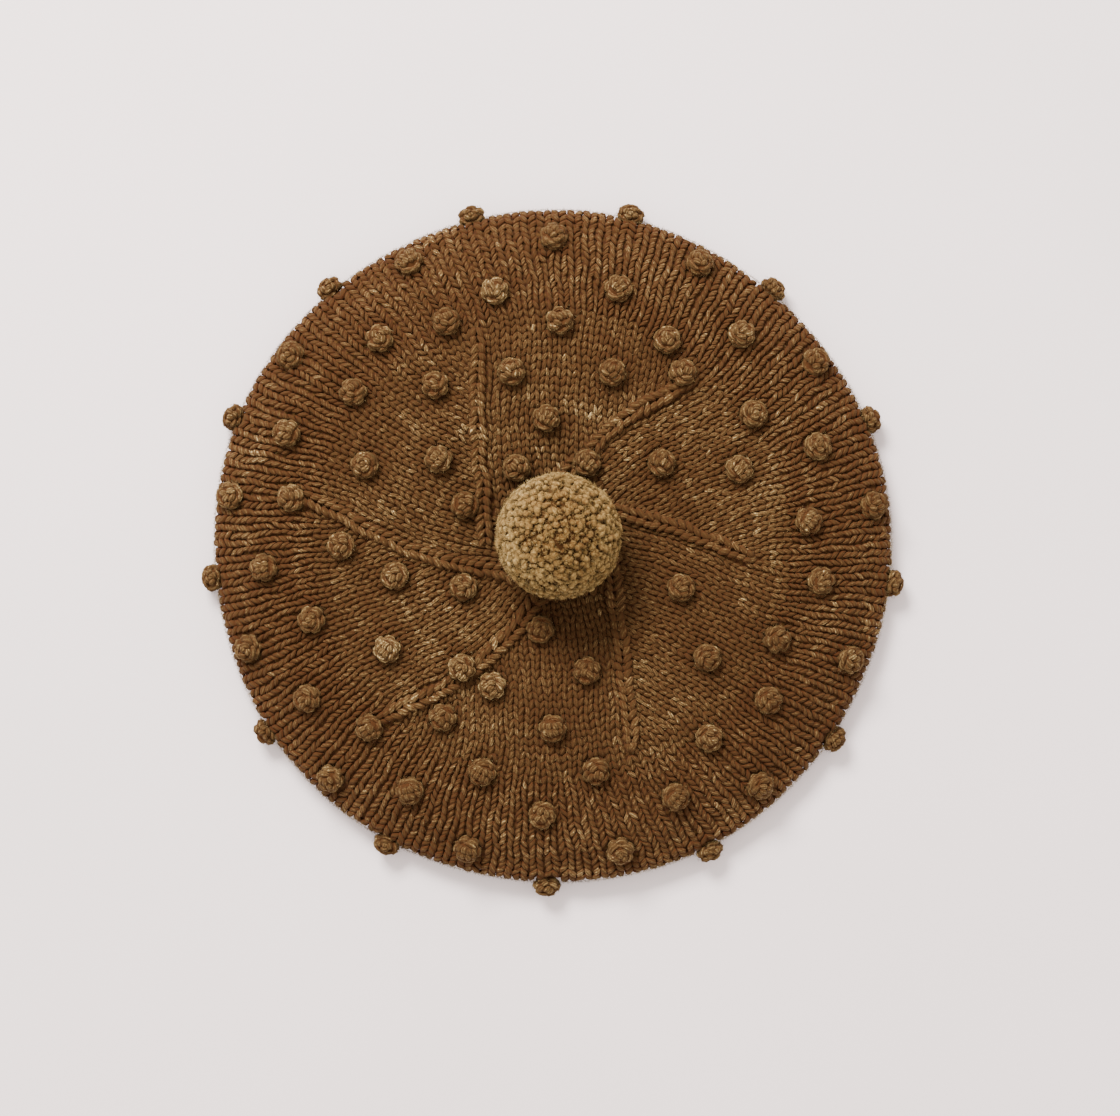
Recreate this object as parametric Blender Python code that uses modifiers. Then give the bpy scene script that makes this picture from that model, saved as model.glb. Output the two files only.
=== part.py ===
"""Knit beret with bobbles and a pompom, lying flat with its crown up.

The crown is knitted outwards from its middle in six swirling sections, each
started by a raised line. It turns over at the edge of the disc and comes back
underneath to a ribbed band round the head opening. The bobbles are knitted
into the crown, so they are one solid with it.

Metres, +Z up. The origin lies on the surface under the beret, below the
middle of the disc, and +Y points up the picture.
"""

import math
from collections import namedtuple

import bmesh
import bpy
from mathutils import Matrix, Vector

# Sizes of the knitted body
CROWN_RADIUS = 0.1350
CROWN_RISE = 0.0080
EDGE_HEIGHT = 0.0125
EDGE_ROLL = 0.0070
KNIT_THICKNESS = 0.0026
UNDERSIDE_INNER_RADIUS = 0.0860

# Sizes of the raised lines that divide the sections
LINE_OFFSET = 0.0294
LINE_REACH = 0.0920
LINE_WIDTH = 0.0066
LINE_HEIGHT = 0.0013

# Sizes of the ribbed band
BAND_DEPTH = 0.0230
BAND_THICKNESS = 0.0034
RIB_COUNT = 24
RIB_RELIEF = 0.0007

# Sizes of the bobbles
BOBBLE_DIAMETER = 0.0116
BOBBLE_RISE = 0.0066
BOBBLES_PER_RING = 13

# Sizes and place of the pompom
POMPOM_DIAMETER = 0.0492
POMPOM_PRESS = 0.0035
POMPOM_OFFSET_X = 0.0025
POMPOM_OFFSET_Y = 0.0041
LOCK_LENGTH = 0.0050
LOCK_WIDTH = 0.0086

# Gap between pieces that touch
CLEARANCE = 0.0003

# Fineness of the meshes
STEPS_PER_SECTION = 10
FOLD_STEPS = 6
BOBBLE_SIDES = 8
BOBBLE_RINGS = 4
LOCK_SIDES = 5

# The skin of the crown from the pompom's seat out to the top of the turned edge.
# radius is a share of the way between the two, rise a share of CROWN_RISE.
Station = namedtuple("Station", "radius rise")
CROWN_STATIONS = (
    Station(0.00, 0.45),
    Station(0.10, 0.60),
    Station(0.21, 0.80),
    Station(0.33, 0.94),
    Station(0.46, 1.00),
    Station(0.59, 0.98),
    Station(0.70, 0.88),
    Station(0.79, 0.70),
    Station(0.87, 0.62),
    Station(0.94, 0.42),
    Station(1.00, 0.00),
)

# How far the outline strays from a circle: lobes round the edge, the share of the
# crown's radius by which they swell, and the bearing of the first, in degrees.
Sway = namedtuple("Sway", "lobes share bearing")
OUTLINE_SWAYS = (
    Sway(2, 0.0043, -14.0),
    Sway(5, 0.0036, 11.0),
)

# One row for each section, clockwise from the top. bearing is the direction in which
# the section's raised line runs outwards, aside is how far it passes to one side of
# the middle as a share of LINE_OFFSET, reach is how far it runs as a share of
# CROWN_RADIUS, and each bobble is its share of CROWN_RADIUS with its angle clockwise
# of the line, in degrees.
Section = namedtuple("Section", "name bearing aside reach bobbles")
SECTIONS = (
    Section("top", 90.0, 1.01, 0.69,
            ((0.257, 34.5), (0.380, 32.8), (0.529, 11.5), (0.542, 42.9), (0.638, 57.0))),
    Section("upper right", 29.4, 1.04, 0.65,
            ((0.271, 18.6), (0.407, 25.7), (0.593, 29.3))),
    Section("lower right", -23.8, 0.94, 0.58,
            ((0.399, 24.7), (0.559, 33.3))),
    Section("bottom", -84.0, 0.79, 0.66,
            ((0.381, 17.1), (0.445, 52.1), (0.535, 24.7), (0.595, 55.5))),
    Section("lower left", -153.0, 1.03, 0.73,
            ((0.249, 9.5), (0.289, 53.3), (0.444, 4.1), (0.469, 45.2), (0.570, 18.4),
             (0.618, 48.6))),
    Section("upper left", -208.0, 0.96, 0.76,
            ((0.286, 44.4), (0.423, 39.2), (0.586, 47.0), (0.597, 16.0))),
)

# The four outer rings of bobbles, a ring staggered half a repeat from the next.
# first is the bearing of the first bobble, and shares are the distances from the
# middle of it and of those that follow it anticlockwise, as shares of CROWN_RADIUS.
Ring = namedtuple("Ring", "name first shares")
RINGS = (
    Ring("edge", 20.4, (1.0,)),
    Ring("rim", 6.0,
         (0.951, 0.952, 0.942, 0.911, 0.940, 0.952, 0.957,
          0.943, 0.941, 0.927, 0.916, 0.926, 0.935)),
    Ring("middle", 19.3,
         (0.831, 0.841, 0.783, 0.771, 0.795, 0.842, 0.848,
          0.844, 0.831, 0.793, 0.818, 0.778, 0.791)),
    Ring("inner", 4.4,
         (0.751, 0.706, 0.696, 0.663, 0.731, 0.735, 0.774,
          0.738, 0.751, 0.694, 0.673, 0.723, 0.711)),
)
RING_SWING = 1.4
RING_SWING_BEARING = 25.0

# Sizes that follow from those above
FLAT_RADIUS = CROWN_RADIUS - EDGE_ROLL
EDGE_MIDDLE = EDGE_HEIGHT / 2
MIDDLE_HEIGHT = EDGE_HEIGHT + CROWN_STATIONS[0].rise * CROWN_RISE
POMPOM_RADIUS = POMPOM_DIAMETER / 2
POMPOM_BASE_RADIUS = math.sqrt(POMPOM_RADIUS ** 2 - (POMPOM_RADIUS - POMPOM_PRESS) ** 2)
POMPOM_OFFSET = math.hypot(POMPOM_OFFSET_X, POMPOM_OFFSET_Y)
SEAT_RADIUS = POMPOM_OFFSET + POMPOM_BASE_RADIUS + KNIT_THICKNESS
BAND_STEPS = 2 * RIB_COUNT
MERGE_DISTANCE = 0.00001
GOLDEN_ANGLE = math.pi * (3 - math.sqrt(5))


def clear_scene():
    """Remove every object that the scene starts with."""
    for old in list(bpy.data.objects):
        bpy.data.objects.remove(old, do_unlink=True)


def new_collection(name):
    """Return a new collection linked to the scene."""
    collection = bpy.data.collections.new(name)
    bpy.context.scene.collection.children.link(collection)
    return collection


def new_object(name, mesh, collection):
    """Return an object of the mesh, linked to the collection alone."""
    made = bpy.data.objects.new(name, mesh)
    collection.objects.link(made)
    return made


def object_from_bmesh(name, shape, collection):
    """Turn a bmesh into an object, with its faces pointing out."""
    bmesh.ops.recalc_face_normals(shape, faces=shape.faces)
    mesh = bpy.data.meshes.new(name)
    shape.to_mesh(mesh)
    shape.free()
    return new_object(name, mesh, collection)


def plain_material(name, colour, roughness):
    """A matt wool material of one colour."""
    material = bpy.data.materials.new(name)
    material.use_nodes = True
    shader = material.node_tree.nodes["Principled BSDF"]
    shader.inputs["Base Color"].default_value = (*colour, 1.0)
    shader.inputs["Roughness"].default_value = roughness
    shader.inputs["Metallic"].default_value = 0.0
    return material


def crown_material():
    """Tobacco brown wool of the crown."""
    return plain_material("brown wool", (0.130, 0.050, 0.015), 0.92)


def band_material():
    """The same wool in ribbing, a shade deeper."""
    return plain_material("brown ribbing", (0.112, 0.043, 0.013), 0.94)


def pompom_material():
    """Khaki wool of the pompom."""
    return plain_material("khaki wool", (0.280, 0.160, 0.058), 0.95)


def smooth_step(low, high, value):
    """Ease from 0 at low to 1 at high."""
    share = min(max((value - low) / (high - low), 0.0), 1.0)
    return share * share * (3 - 2 * share)


def station_points(inset):
    """Points (radius, height) of the crown's top, lowered by the inset."""
    span = FLAT_RADIUS - SEAT_RADIUS
    return [
        (SEAT_RADIUS + station.radius * span, EDGE_HEIGHT + station.rise * CROWN_RISE - inset)
        for station in CROWN_STATIONS
    ]


def fold_points(inset):
    """Points (radius, height) round the turned edge, from its top to its underside."""
    points = []
    for step in range(1, FOLD_STEPS + 1):
        turn = math.pi / 2 - math.pi * step / FOLD_STEPS
        radius = FLAT_RADIUS + (EDGE_ROLL - inset) * math.cos(turn)
        height = EDGE_MIDDLE + (EDGE_MIDDLE - inset) * math.sin(turn)
        points.append((radius, height))
    return points


def crown_profile(inset):
    """Half section of the crown's skin, from the middle of its top to under the edge."""
    middle = (0.0, MIDDLE_HEIGHT - inset)
    return [middle] + station_points(inset) + fold_points(inset)


def turned(name, profile, steps, collection):
    """Turn a half section, listed from top to bottom at +X, into a closed solid."""
    mesh = bpy.data.meshes.new(name + " section")
    points = [(radius, 0.0, height) for radius, height in profile]
    edges = [(index, index + 1) for index in range(len(points) - 1)]
    mesh.from_pydata(points, edges, [])
    blank = new_object(name + " section", mesh, collection)
    screw = blank.modifiers.new("turn", "SCREW")
    screw.steps = steps
    screw.render_steps = steps
    screw.use_merge_vertices = True
    screw.merge_threshold = MERGE_DISTANCE
    bpy.context.view_layer.update()
    graph = bpy.context.evaluated_depsgraph_get()
    solid_mesh = bpy.data.meshes.new_from_object(blank.evaluated_get(graph))
    bpy.data.objects.remove(blank, do_unlink=True)
    shape = bmesh.new()
    shape.from_mesh(solid_mesh)
    bpy.data.meshes.remove(solid_mesh)
    return shape


def line_bearing(section, radius):
    """Bearing at which a section's raised line crosses a radius."""
    offset = LINE_OFFSET * section.aside
    start = offset * 1.1
    span = min(max(radius, start), max(LINE_REACH, start))
    return section.bearing + math.degrees(math.asin(offset / span))


def outline_scale(bearing, radius):
    """How the outline swells at a bearing, full at the edge and none in the middle."""
    swell = sum(
        sway.share * math.cos(sway.lobes * math.radians(bearing - sway.bearing))
        for sway in OUTLINE_SWAYS
    )
    return 1.0 + swell * smooth_step(0.0, CROWN_RADIUS, radius)


def step_bearing(step, radius):
    """Bearing and section of a step round the crown, at a radius.

    The steps follow the raised lines. A section's first step runs along its line,
    and the steps on either side of a line keep half a line's width from it.
    """
    index, part = divmod(step, STEPS_PER_SECTION)
    section = SECTIONS[index]
    following = SECTIONS[(index + 1) % len(SECTIONS)]
    start = line_bearing(section, radius)
    span = (start - line_bearing(following, radius)) % 360
    edge = math.degrees(LINE_WIDTH / 2 / max(radius, MERGE_DISTANCE))
    edge = min(edge, span / STEPS_PER_SECTION)
    if part == 0:
        turn = 0.0
    else:
        turn = edge + (span - 2 * edge) * (part - 1) / (STEPS_PER_SECTION - 2)
    return start - turn, section, part


def line_relief(section, radius):
    """Height of a section's raised line above the crown at a radius."""
    reach = section.reach * CROWN_RADIUS
    start = smooth_step(SEAT_RADIUS, SEAT_RADIUS + LINE_WIDTH, radius)
    end = 1.0 - smooth_step(reach - LINE_WIDTH, reach + LINE_WIDTH, radius)
    return LINE_HEIGHT * start * end


def swirl(shape):
    """Turn a plain crown's points so that they follow the lines, and raise the lines."""
    steps = STEPS_PER_SECTION * len(SECTIONS)
    for vert in shape.verts:
        radius = math.hypot(vert.co.x, vert.co.y)
        if radius < MERGE_DISTANCE:
            continue
        turn = -math.atan2(vert.co.y, vert.co.x)
        step = round(turn / (2 * math.pi) * steps) % steps
        bearing, section, part = step_bearing(step, radius)
        if part == 0 and vert.co.z > EDGE_HEIGHT:
            vert.co.z += line_relief(section, radius)
        reach = radius * outline_scale(bearing, radius)
        vert.co.x = reach * math.cos(math.radians(bearing))
        vert.co.y = reach * math.sin(math.radians(bearing))


def skin_place(share, bearing):
    """Point on the crown's skin at a share of its radius, with the outward normal."""
    radius = min(share * CROWN_RADIUS, CROWN_RADIUS)
    around = math.radians(bearing)
    outwards = Vector((math.cos(around), math.sin(around), 0.0))
    if radius >= FLAT_RADIUS:
        turn = math.acos(min((radius - FLAT_RADIUS) / EDGE_ROLL, 1.0))
        lift = max(EDGE_MIDDLE * math.sin(turn), BOBBLE_DIAMETER / 2 + CLEARANCE - EDGE_MIDDLE)
        height = EDGE_MIDDLE + min(lift, EDGE_MIDDLE)
        slope = (math.cos(turn) / EDGE_ROLL, math.sin(turn) / EDGE_MIDDLE)
    else:
        points = [(0.0, MIDDLE_HEIGHT)] + station_points(0.0)
        for (r0, z0), (r1, z1) in zip(points, points[1:]):
            if r0 <= radius <= r1:
                break
        height = z0 + (z1 - z0) * (radius - r0) / (r1 - r0)
        slope = (z0 - z1, r1 - r0)
    normal = (outwards * slope[0] + Vector((0.0, 0.0, slope[1]))).normalized()
    reach = radius * outline_scale(bearing, radius)
    return outwards * reach + Vector((0.0, 0.0, height)), normal


def ring_places():
    """Share of the radius and bearing of each bobble in the outer rings."""
    for ring in RINGS:
        for count in range(BOBBLES_PER_RING):
            bearing = ring.first + 360.0 * count / BOBBLES_PER_RING
            swing = RING_SWING * math.cos(math.radians(bearing - RING_SWING_BEARING))
            yield ring.shares[count % len(ring.shares)], bearing + swing


def section_places():
    """Share of the radius and bearing of each bobble inside the swirling sections."""
    for section in SECTIONS:
        for share, turn in section.bobbles:
            yield share, line_bearing(section, share * CROWN_RADIUS) - turn


def clear_of_pompom(place):
    """Whether a bobble at the place stands free of the pompom."""
    gap = math.hypot(place.x - POMPOM_OFFSET_X, place.y - POMPOM_OFFSET_Y)
    return gap > POMPOM_RADIUS + BOBBLE_DIAMETER / 2 + CLEARANCE


def bobble_turn(normal):
    """Rotation that stands a bobble's axis along the normal."""
    return normal.to_track_quat("Z", "Y").to_matrix().to_4x4()


def add_bobble(shape, share, bearing):
    """Add one knitted ball, rooted in the wall and standing BOBBLE_RISE proud of it."""
    place, normal = skin_place(share, bearing)
    if not clear_of_pompom(place):
        return
    half_height = (BOBBLE_RISE + KNIT_THICKNESS) / 2
    centre = place + normal * (BOBBLE_RISE - half_height)
    half_width = BOBBLE_DIAMETER / 2
    squash = Matrix.Diagonal((half_width, half_width, half_height, 1.0))
    bmesh.ops.create_uvsphere(
        shape,
        u_segments=BOBBLE_SIDES,
        v_segments=BOBBLE_RINGS,
        radius=1.0,
        matrix=Matrix.Translation(centre) @ bobble_turn(normal) @ squash,
    )


def build_bobbles(cutters):
    """All the bobbles, as the shape that is joined to the crown."""
    shape = bmesh.new()
    for share, bearing in list(ring_places()) + list(section_places()):
        add_bobble(shape, share, bearing)
    bobbles = object_from_bmesh("bobbles", shape, cutters)
    hide_cutter(bobbles)
    return bobbles


def build_hollow(cutters):
    """The space inside the crown, open through the underside.

    It has as many sides as the band, so that the band's edge follows the opening's.
    """
    below = -EDGE_HEIGHT
    mouth = [
        (UNDERSIDE_INNER_RADIUS, KNIT_THICKNESS),
        (UNDERSIDE_INNER_RADIUS, below),
        (0.0, below),
    ]
    profile = crown_profile(KNIT_THICKNESS) + mouth
    shape = turned("crown hollow", profile, BAND_STEPS, cutters)
    hollow = object_from_bmesh("crown hollow", shape, cutters)
    hide_cutter(hollow)
    return hollow


def hide_cutter(cutter):
    """Keep a cutter out of the picture."""
    cutter.hide_render = True
    cutter.display_type = "WIRE"


def add_boolean(target, name, operation, other):
    """Join or cut the target with another object."""
    boolean = target.modifiers.new(name, "BOOLEAN")
    boolean.operation = operation
    boolean.solver = "EXACT"
    boolean.use_self = operation == "UNION"
    boolean.object = other


def build_crown(parts, cutters):
    """The knitted body: top, turned edge and underside, with its bobbles."""
    profile = crown_profile(0.0) + [(0.0, 0.0)]
    shape = turned("crown", profile, STEPS_PER_SECTION * len(SECTIONS), cutters)
    swirl(shape)
    crown = object_from_bmesh("crown", shape, parts)
    crown.data.materials.append(crown_material())
    add_boolean(crown, "join bobbles", "UNION", build_bobbles(cutters))
    add_boolean(crown, "open hollow", "DIFFERENCE", build_hollow(cutters))
    return crown


def build_band(parts, cutters):
    """The ribbed band, lying flat inside the underside round the head opening."""
    outer = UNDERSIDE_INNER_RADIUS - CLEARANCE
    inner = outer - BAND_DEPTH
    soft = BAND_THICKNESS / 3
    profile = [
        (inner + soft, BAND_THICKNESS),
        (outer, BAND_THICKNESS),
        (outer, 0.0),
        (inner + soft, 0.0),
        (inner, soft),
        (inner, BAND_THICKNESS - soft),
        (inner + soft, BAND_THICKNESS),
    ]
    shape = turned("rib band", profile, BAND_STEPS, cutters)
    bmesh.ops.remove_doubles(shape, verts=shape.verts, dist=MERGE_DISTANCE)
    press_ribs(shape)
    band = object_from_bmesh("rib_band", shape, parts)
    band.data.materials.append(band_material())
    return band


def press_ribs(shape):
    """Sink every other step round the band, above and below, to leave ribs."""
    middle = BAND_THICKNESS / 2
    for vert in shape.verts:
        turn = math.atan2(vert.co.y, vert.co.x) / (2 * math.pi)
        if round(turn * BAND_STEPS) % 2:
            sink = RIB_RELIEF * (vert.co.z - middle) / middle
            vert.co.z -= sink


def lock_directions():
    """Directions spread evenly over the pompom, one for each lock."""
    count = round(4 * math.pi * (POMPOM_RADIUS / LOCK_WIDTH) ** 2 * 0.78)
    for index in range(count):
        height = 1 - (2 * index + 1) / count
        ring = math.sqrt(1 - height * height)
        turn = GOLDEN_ANGLE * index
        yield Vector((ring * math.cos(turn), ring * math.sin(turn), height))


def add_lock(shape, direction, centre):
    """Add one lock of yarn ends: narrow at its root, domed at its trimmed tip."""
    head_radius = POMPOM_RADIUS - LOCK_LENGTH
    root = head_radius * 0.9
    dome = LOCK_WIDTH / 8
    shoulder = POMPOM_RADIUS - dome
    middle = centre + direction * (root + shoulder) / 2
    turn = direction.to_track_quat("Z", "Y").to_matrix().to_4x4()
    made = bmesh.ops.create_cone(
        shape,
        cap_ends=True,
        segments=LOCK_SIDES,
        radius1=LOCK_WIDTH * 0.32,
        radius2=LOCK_WIDTH * 0.46,
        depth=shoulder - root,
        matrix=Matrix.Translation(middle) @ turn,
    )
    faces = {face for vert in made["verts"] for face in vert.link_faces}
    tip = max(faces, key=lambda face: (face.calc_center_median() - centre).length)
    bmesh.ops.poke(shape, faces=[tip], offset=dome)


def pompom_centre():
    """Middle of the pompom's ball, pressed down on its seat."""
    height = MIDDLE_HEIGHT + CLEARANCE + POMPOM_RADIUS - POMPOM_PRESS
    return Vector((POMPOM_OFFSET_X, POMPOM_OFFSET_Y, height))


def build_locks(cutters):
    """All the locks, as the shape that is joined to the pompom's head."""
    shape = bmesh.new()
    centre = pompom_centre()
    for direction in lock_directions():
        add_lock(shape, direction, centre)
    locks = object_from_bmesh("pompom locks", shape, cutters)
    hide_cutter(locks)
    return locks


def build_seat(cutters):
    """The block under the pompom that flattens its base against the crown."""
    shape = bmesh.new()
    base = MIDDLE_HEIGHT + CLEARANCE
    size = 3 * POMPOM_RADIUS
    middle = Vector((POMPOM_OFFSET_X, POMPOM_OFFSET_Y, base - size / 2))
    bmesh.ops.create_cube(shape, size=size, matrix=Matrix.Translation(middle))
    seat = object_from_bmesh("pompom seat", shape, cutters)
    hide_cutter(seat)
    return seat


def build_pompom(parts, cutters):
    """The trimmed ball of yarn ends on the middle of the crown."""
    shape = bmesh.new()
    bmesh.ops.create_icosphere(
        shape,
        subdivisions=2,
        radius=POMPOM_RADIUS - LOCK_LENGTH,
        matrix=Matrix.Translation(pompom_centre()),
    )
    pompom = object_from_bmesh("pompom", shape, parts)
    pompom.data.materials.append(pompom_material())
    add_boolean(pompom, "join locks", "UNION", build_locks(cutters))
    add_boolean(pompom, "press base", "DIFFERENCE", build_seat(cutters))
    return pompom


def main():
    """Build the beret."""
    clear_scene()
    parts = new_collection("knit beret")
    cutters = new_collection("cutters")
    pieces = [
        build_crown(parts, cutters),
        build_band(parts, cutters),
        build_pompom(parts, cutters),
    ]
    for piece in pieces:
        piece.data.shade_smooth()


main()
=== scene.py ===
"""Looks of the knit beret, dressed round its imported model.

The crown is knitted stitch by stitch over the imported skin: six swirling sections of
stocking stitch, each beside a raised line, that join into one round of columns at the
rim, turn over the edge and come back underneath to a ribbed band. Bobbles are small
knitted balls, and the pompom is a ball of cut yarn ends. Lengths are in metres.
"""

import logging
import math
from collections.abc import Callable, Iterator
from dataclasses import dataclass, field
from enum import Enum
from typing import NamedTuple

import bmesh
import bpy
import numpy as np
from mathutils import Matrix, Vector, noise


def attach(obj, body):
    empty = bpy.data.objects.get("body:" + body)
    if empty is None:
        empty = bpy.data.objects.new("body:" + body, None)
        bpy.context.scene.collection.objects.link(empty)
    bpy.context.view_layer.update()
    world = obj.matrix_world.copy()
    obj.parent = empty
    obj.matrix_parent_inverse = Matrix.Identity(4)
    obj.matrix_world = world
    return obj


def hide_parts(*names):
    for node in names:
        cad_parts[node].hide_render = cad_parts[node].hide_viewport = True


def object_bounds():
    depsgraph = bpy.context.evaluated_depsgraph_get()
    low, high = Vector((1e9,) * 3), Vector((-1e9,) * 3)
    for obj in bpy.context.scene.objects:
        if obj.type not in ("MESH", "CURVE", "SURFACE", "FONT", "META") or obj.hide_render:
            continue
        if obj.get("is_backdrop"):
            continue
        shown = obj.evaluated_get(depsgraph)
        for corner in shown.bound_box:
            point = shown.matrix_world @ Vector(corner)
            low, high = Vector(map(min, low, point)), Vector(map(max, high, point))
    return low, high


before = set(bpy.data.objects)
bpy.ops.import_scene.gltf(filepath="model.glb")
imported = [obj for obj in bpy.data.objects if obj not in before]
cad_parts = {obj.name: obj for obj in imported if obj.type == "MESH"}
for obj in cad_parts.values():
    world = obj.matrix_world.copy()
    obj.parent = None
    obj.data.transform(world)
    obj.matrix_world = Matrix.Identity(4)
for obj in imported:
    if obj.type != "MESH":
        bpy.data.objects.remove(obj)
CAD_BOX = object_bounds()
BODY = "root"
LOG = logging.getLogger("beret")
MERGE_DISTANCE = 0.00001
STRAND_MAP = "strand"


class Station(NamedTuple):
    """A point of the crown's top, from the pompom's seat out to the turned edge."""

    radius: float
    rise: float


class Sway(NamedTuple):
    """How far the outline strays from a circle: lobes, share of the radius, bearing."""

    lobes: int
    share: float
    bearing: float


class Section(NamedTuple):
    """A section of the crown.

    Its line runs outwards along the bearing, passes the middle aside of it by a share
    of the form's line_offset, curls in by some metres beside the pompom and reaches
    out to a share of the radius. A bobble is its share of the radius and its angle
    clockwise of the line.
    """

    name: str
    bearing: float
    aside: float
    curl: float
    reach: float
    columns: int
    bobbles: tuple[tuple[float, float], ...]


class Ring(NamedTuple):
    """A ring of bobbles: the bearing of its first, and each one's share of the radius."""

    name: str
    first: float
    shares: tuple[float, ...]


STATIONS = (
    Station(0.00, 0.45),
    Station(0.10, 0.60),
    Station(0.21, 0.80),
    Station(0.33, 0.94),
    Station(0.46, 1.00),
    Station(0.59, 0.98),
    Station(0.70, 0.88),
    Station(0.79, 0.70),
    Station(0.87, 0.62),
    Station(0.94, 0.42),
    Station(1.00, 0.00),
)
SWAYS = (
    Sway(2, 0.0043, -14.0),
    Sway(5, 0.0036, 11.0),
)
SECTIONS = (
    Section("top", 90.0, 1.01, 0.0015, 0.69, 22,
            ((0.257, 34.5), (0.380, 32.8), (0.529, 11.5), (0.542, 42.9), (0.638, 57.0))),
    Section("upper_right", 29.4, 1.04, 0.0052, 0.65, 20,
            ((0.271, 18.6), (0.407, 25.7), (0.593, 29.3))),
    Section("lower_right", -23.8, 0.94, 0.0026, 0.58, 23,
            ((0.399, 24.7), (0.559, 33.3))),
    Section("bottom", -84.0, 0.79, 0.0004, 0.66, 23,
            ((0.381, 17.1), (0.445, 52.1), (0.535, 24.7), (0.595, 55.5))),
    Section("lower_left", -153.0, 1.03, 0.0080, 0.73, 20,
            ((0.249, 9.5), (0.289, 53.3), (0.444, 4.1), (0.469, 45.2), (0.570, 18.4),
             (0.618, 48.6))),
    Section("upper_left", -208.0, 0.96, 0.0052, 0.76, 22,
            ((0.286, 44.4), (0.423, 39.2), (0.586, 47.0), (0.597, 16.0))),
)
RINGS = (
    Ring("edge", 20.4, (1.0,)),
    Ring("rim", 6.0,
         (0.951, 0.952, 0.942, 0.911, 0.940, 0.952, 0.957,
          0.943, 0.941, 0.927, 0.916, 0.926, 0.935)),
    Ring("middle", 19.3,
         (0.831, 0.841, 0.783, 0.771, 0.795, 0.842, 0.848,
          0.844, 0.831, 0.793, 0.818, 0.778, 0.791)),
    Ring("inner", 4.4,
         (0.751, 0.706, 0.696, 0.663, 0.731, 0.735, 0.774,
          0.738, 0.751, 0.694, 0.673, 0.723, 0.711)),
)


class Strand(NamedTuple):
    """A strand on a bobble's disc of radius one: its ends, bend to its left and width."""

    x: float
    y: float
    to_x: float
    to_y: float
    bend: float
    width: float


BOBBLE_KINDS = (
    (
        Strand(-0.06, -0.52, -0.46, 0.02, 0.04, 0.29),
        Strand(0.10, -0.58, 0.44, 0.06, -0.04, 0.29),
        Strand(-0.40, -0.66, -0.82, -0.06, 0.06, 0.28),
        Strand(0.52, -0.58, 0.80, 0.10, -0.06, 0.28),
        Strand(0.02, -0.04, -0.34, 0.56, 0.05, 0.29),
        Strand(0.08, 0.10, 0.40, 0.60, -0.05, 0.29),
        Strand(-0.62, 0.10, -0.74, 0.58, 0.0, 0.29),
        Strand(0.72, 0.26, 0.60, 0.70, 0.0, 0.27),
        Strand(-0.56, -0.78, 0.56, -0.76, -0.08, 0.26),
        Strand(-0.52, 0.80, 0.44, 0.84, 0.06, 0.27),
    ),
    (
        Strand(-0.88, 0.05, 0.05, -0.78, -0.14, 0.28),
        Strand(0.05, -0.78, 0.88, 0.05, -0.14, 0.28),
        Strand(-0.48, 0.08, 0.0, -0.36, -0.08, 0.27),
        Strand(0.0, -0.36, 0.48, 0.10, -0.08, 0.27),
        Strand(-0.50, 0.14, -0.12, 0.62, 0.05, 0.29),
        Strand(0.46, 0.16, 0.12, 0.60, -0.05, 0.29),
        Strand(-0.02, -0.12, 0.02, 0.34, 0.0, 0.28),
        Strand(0.84, 0.14, 0.44, 0.70, -0.08, 0.28),
        Strand(-0.84, 0.14, -0.46, 0.68, 0.08, 0.28),
        Strand(-0.46, 0.86, 0.46, 0.84, 0.06, 0.27),
    ),
    (
        Strand(-0.60, -0.62, 0.62, -0.60, -0.16, 0.27),
        Strand(0.08, -0.44, -0.28, 0.0, 0.0, 0.28),
        Strand(0.34, -0.38, 0.24, 0.20, 0.0, 0.28),
        Strand(-0.22, -0.60, -0.70, -0.22, 0.0, 0.27),
        Strand(0.66, -0.20, 0.66, 0.42, 0.0, 0.28),
        Strand(-0.16, 0.0, -0.52, 0.48, 0.0, 0.28),
        Strand(0.12, 0.10, -0.04, 0.72, 0.0, 0.28),
        Strand(-0.58, -0.20, -0.86, 0.16, 0.0, 0.26),
        Strand(0.48, 0.32, 0.32, 0.80, 0.0, 0.27),
        Strand(-0.70, 0.60, -0.05, 0.92, 0.0, 0.24),
    ),
    (
        Strand(-0.78, -0.45, 0.25, -0.80, -0.12, 0.28),
        Strand(0.22, -0.60, 0.84, 0.0, -0.12, 0.28),
        Strand(-0.84, -0.10, -0.10, -0.44, -0.05, 0.27),
        Strand(-0.05, -0.42, 0.38, 0.12, -0.04, 0.27),
        Strand(-0.56, 0.0, -0.46, 0.62, 0.0, 0.28),
        Strand(-0.16, -0.10, -0.06, 0.62, 0.0, 0.28),
        Strand(0.22, 0.15, 0.36, 0.76, 0.0, 0.27),
        Strand(0.72, 0.14, 0.64, 0.62, 0.0, 0.28),
        Strand(-0.60, 0.74, 0.30, 0.90, 0.0, 0.25),
    ),
)


class Side(Enum):
    """The two legs of a stitch."""

    LEFT = -1
    RIGHT = 1


def smooth_step(low: float, high: float, value: np.ndarray | float) -> np.ndarray:
    """Ease from 0 at low to 1 at high.

    Args:
        low: Where the ease starts.
        high: Where it ends.
        value: One value or an array of them.

    Returns:
        The eased share, as an array of the value's shape.
    """
    share = np.clip((np.asarray(value, dtype=float) - low) / (high - low), 0.0, 1.0)
    return share * share * (3 - 2 * share)


def linear_colour(hex_code: str) -> tuple[float, float, float, float]:
    """Turn a screen colour into the linear one that a shader takes.

    Args:
        hex_code: Six hexadecimal digits.

    Returns:
        Red, green, blue and an alpha of one.
    """
    parts = [int(hex_code[at:at + 2], 16) / 255 for at in (0, 2, 4)]
    linear = [part / 12.92 if part <= 0.04045 else ((part + 0.055) / 1.055) ** 2.4 for part in parts]
    return (*linear, 1.0)


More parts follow.
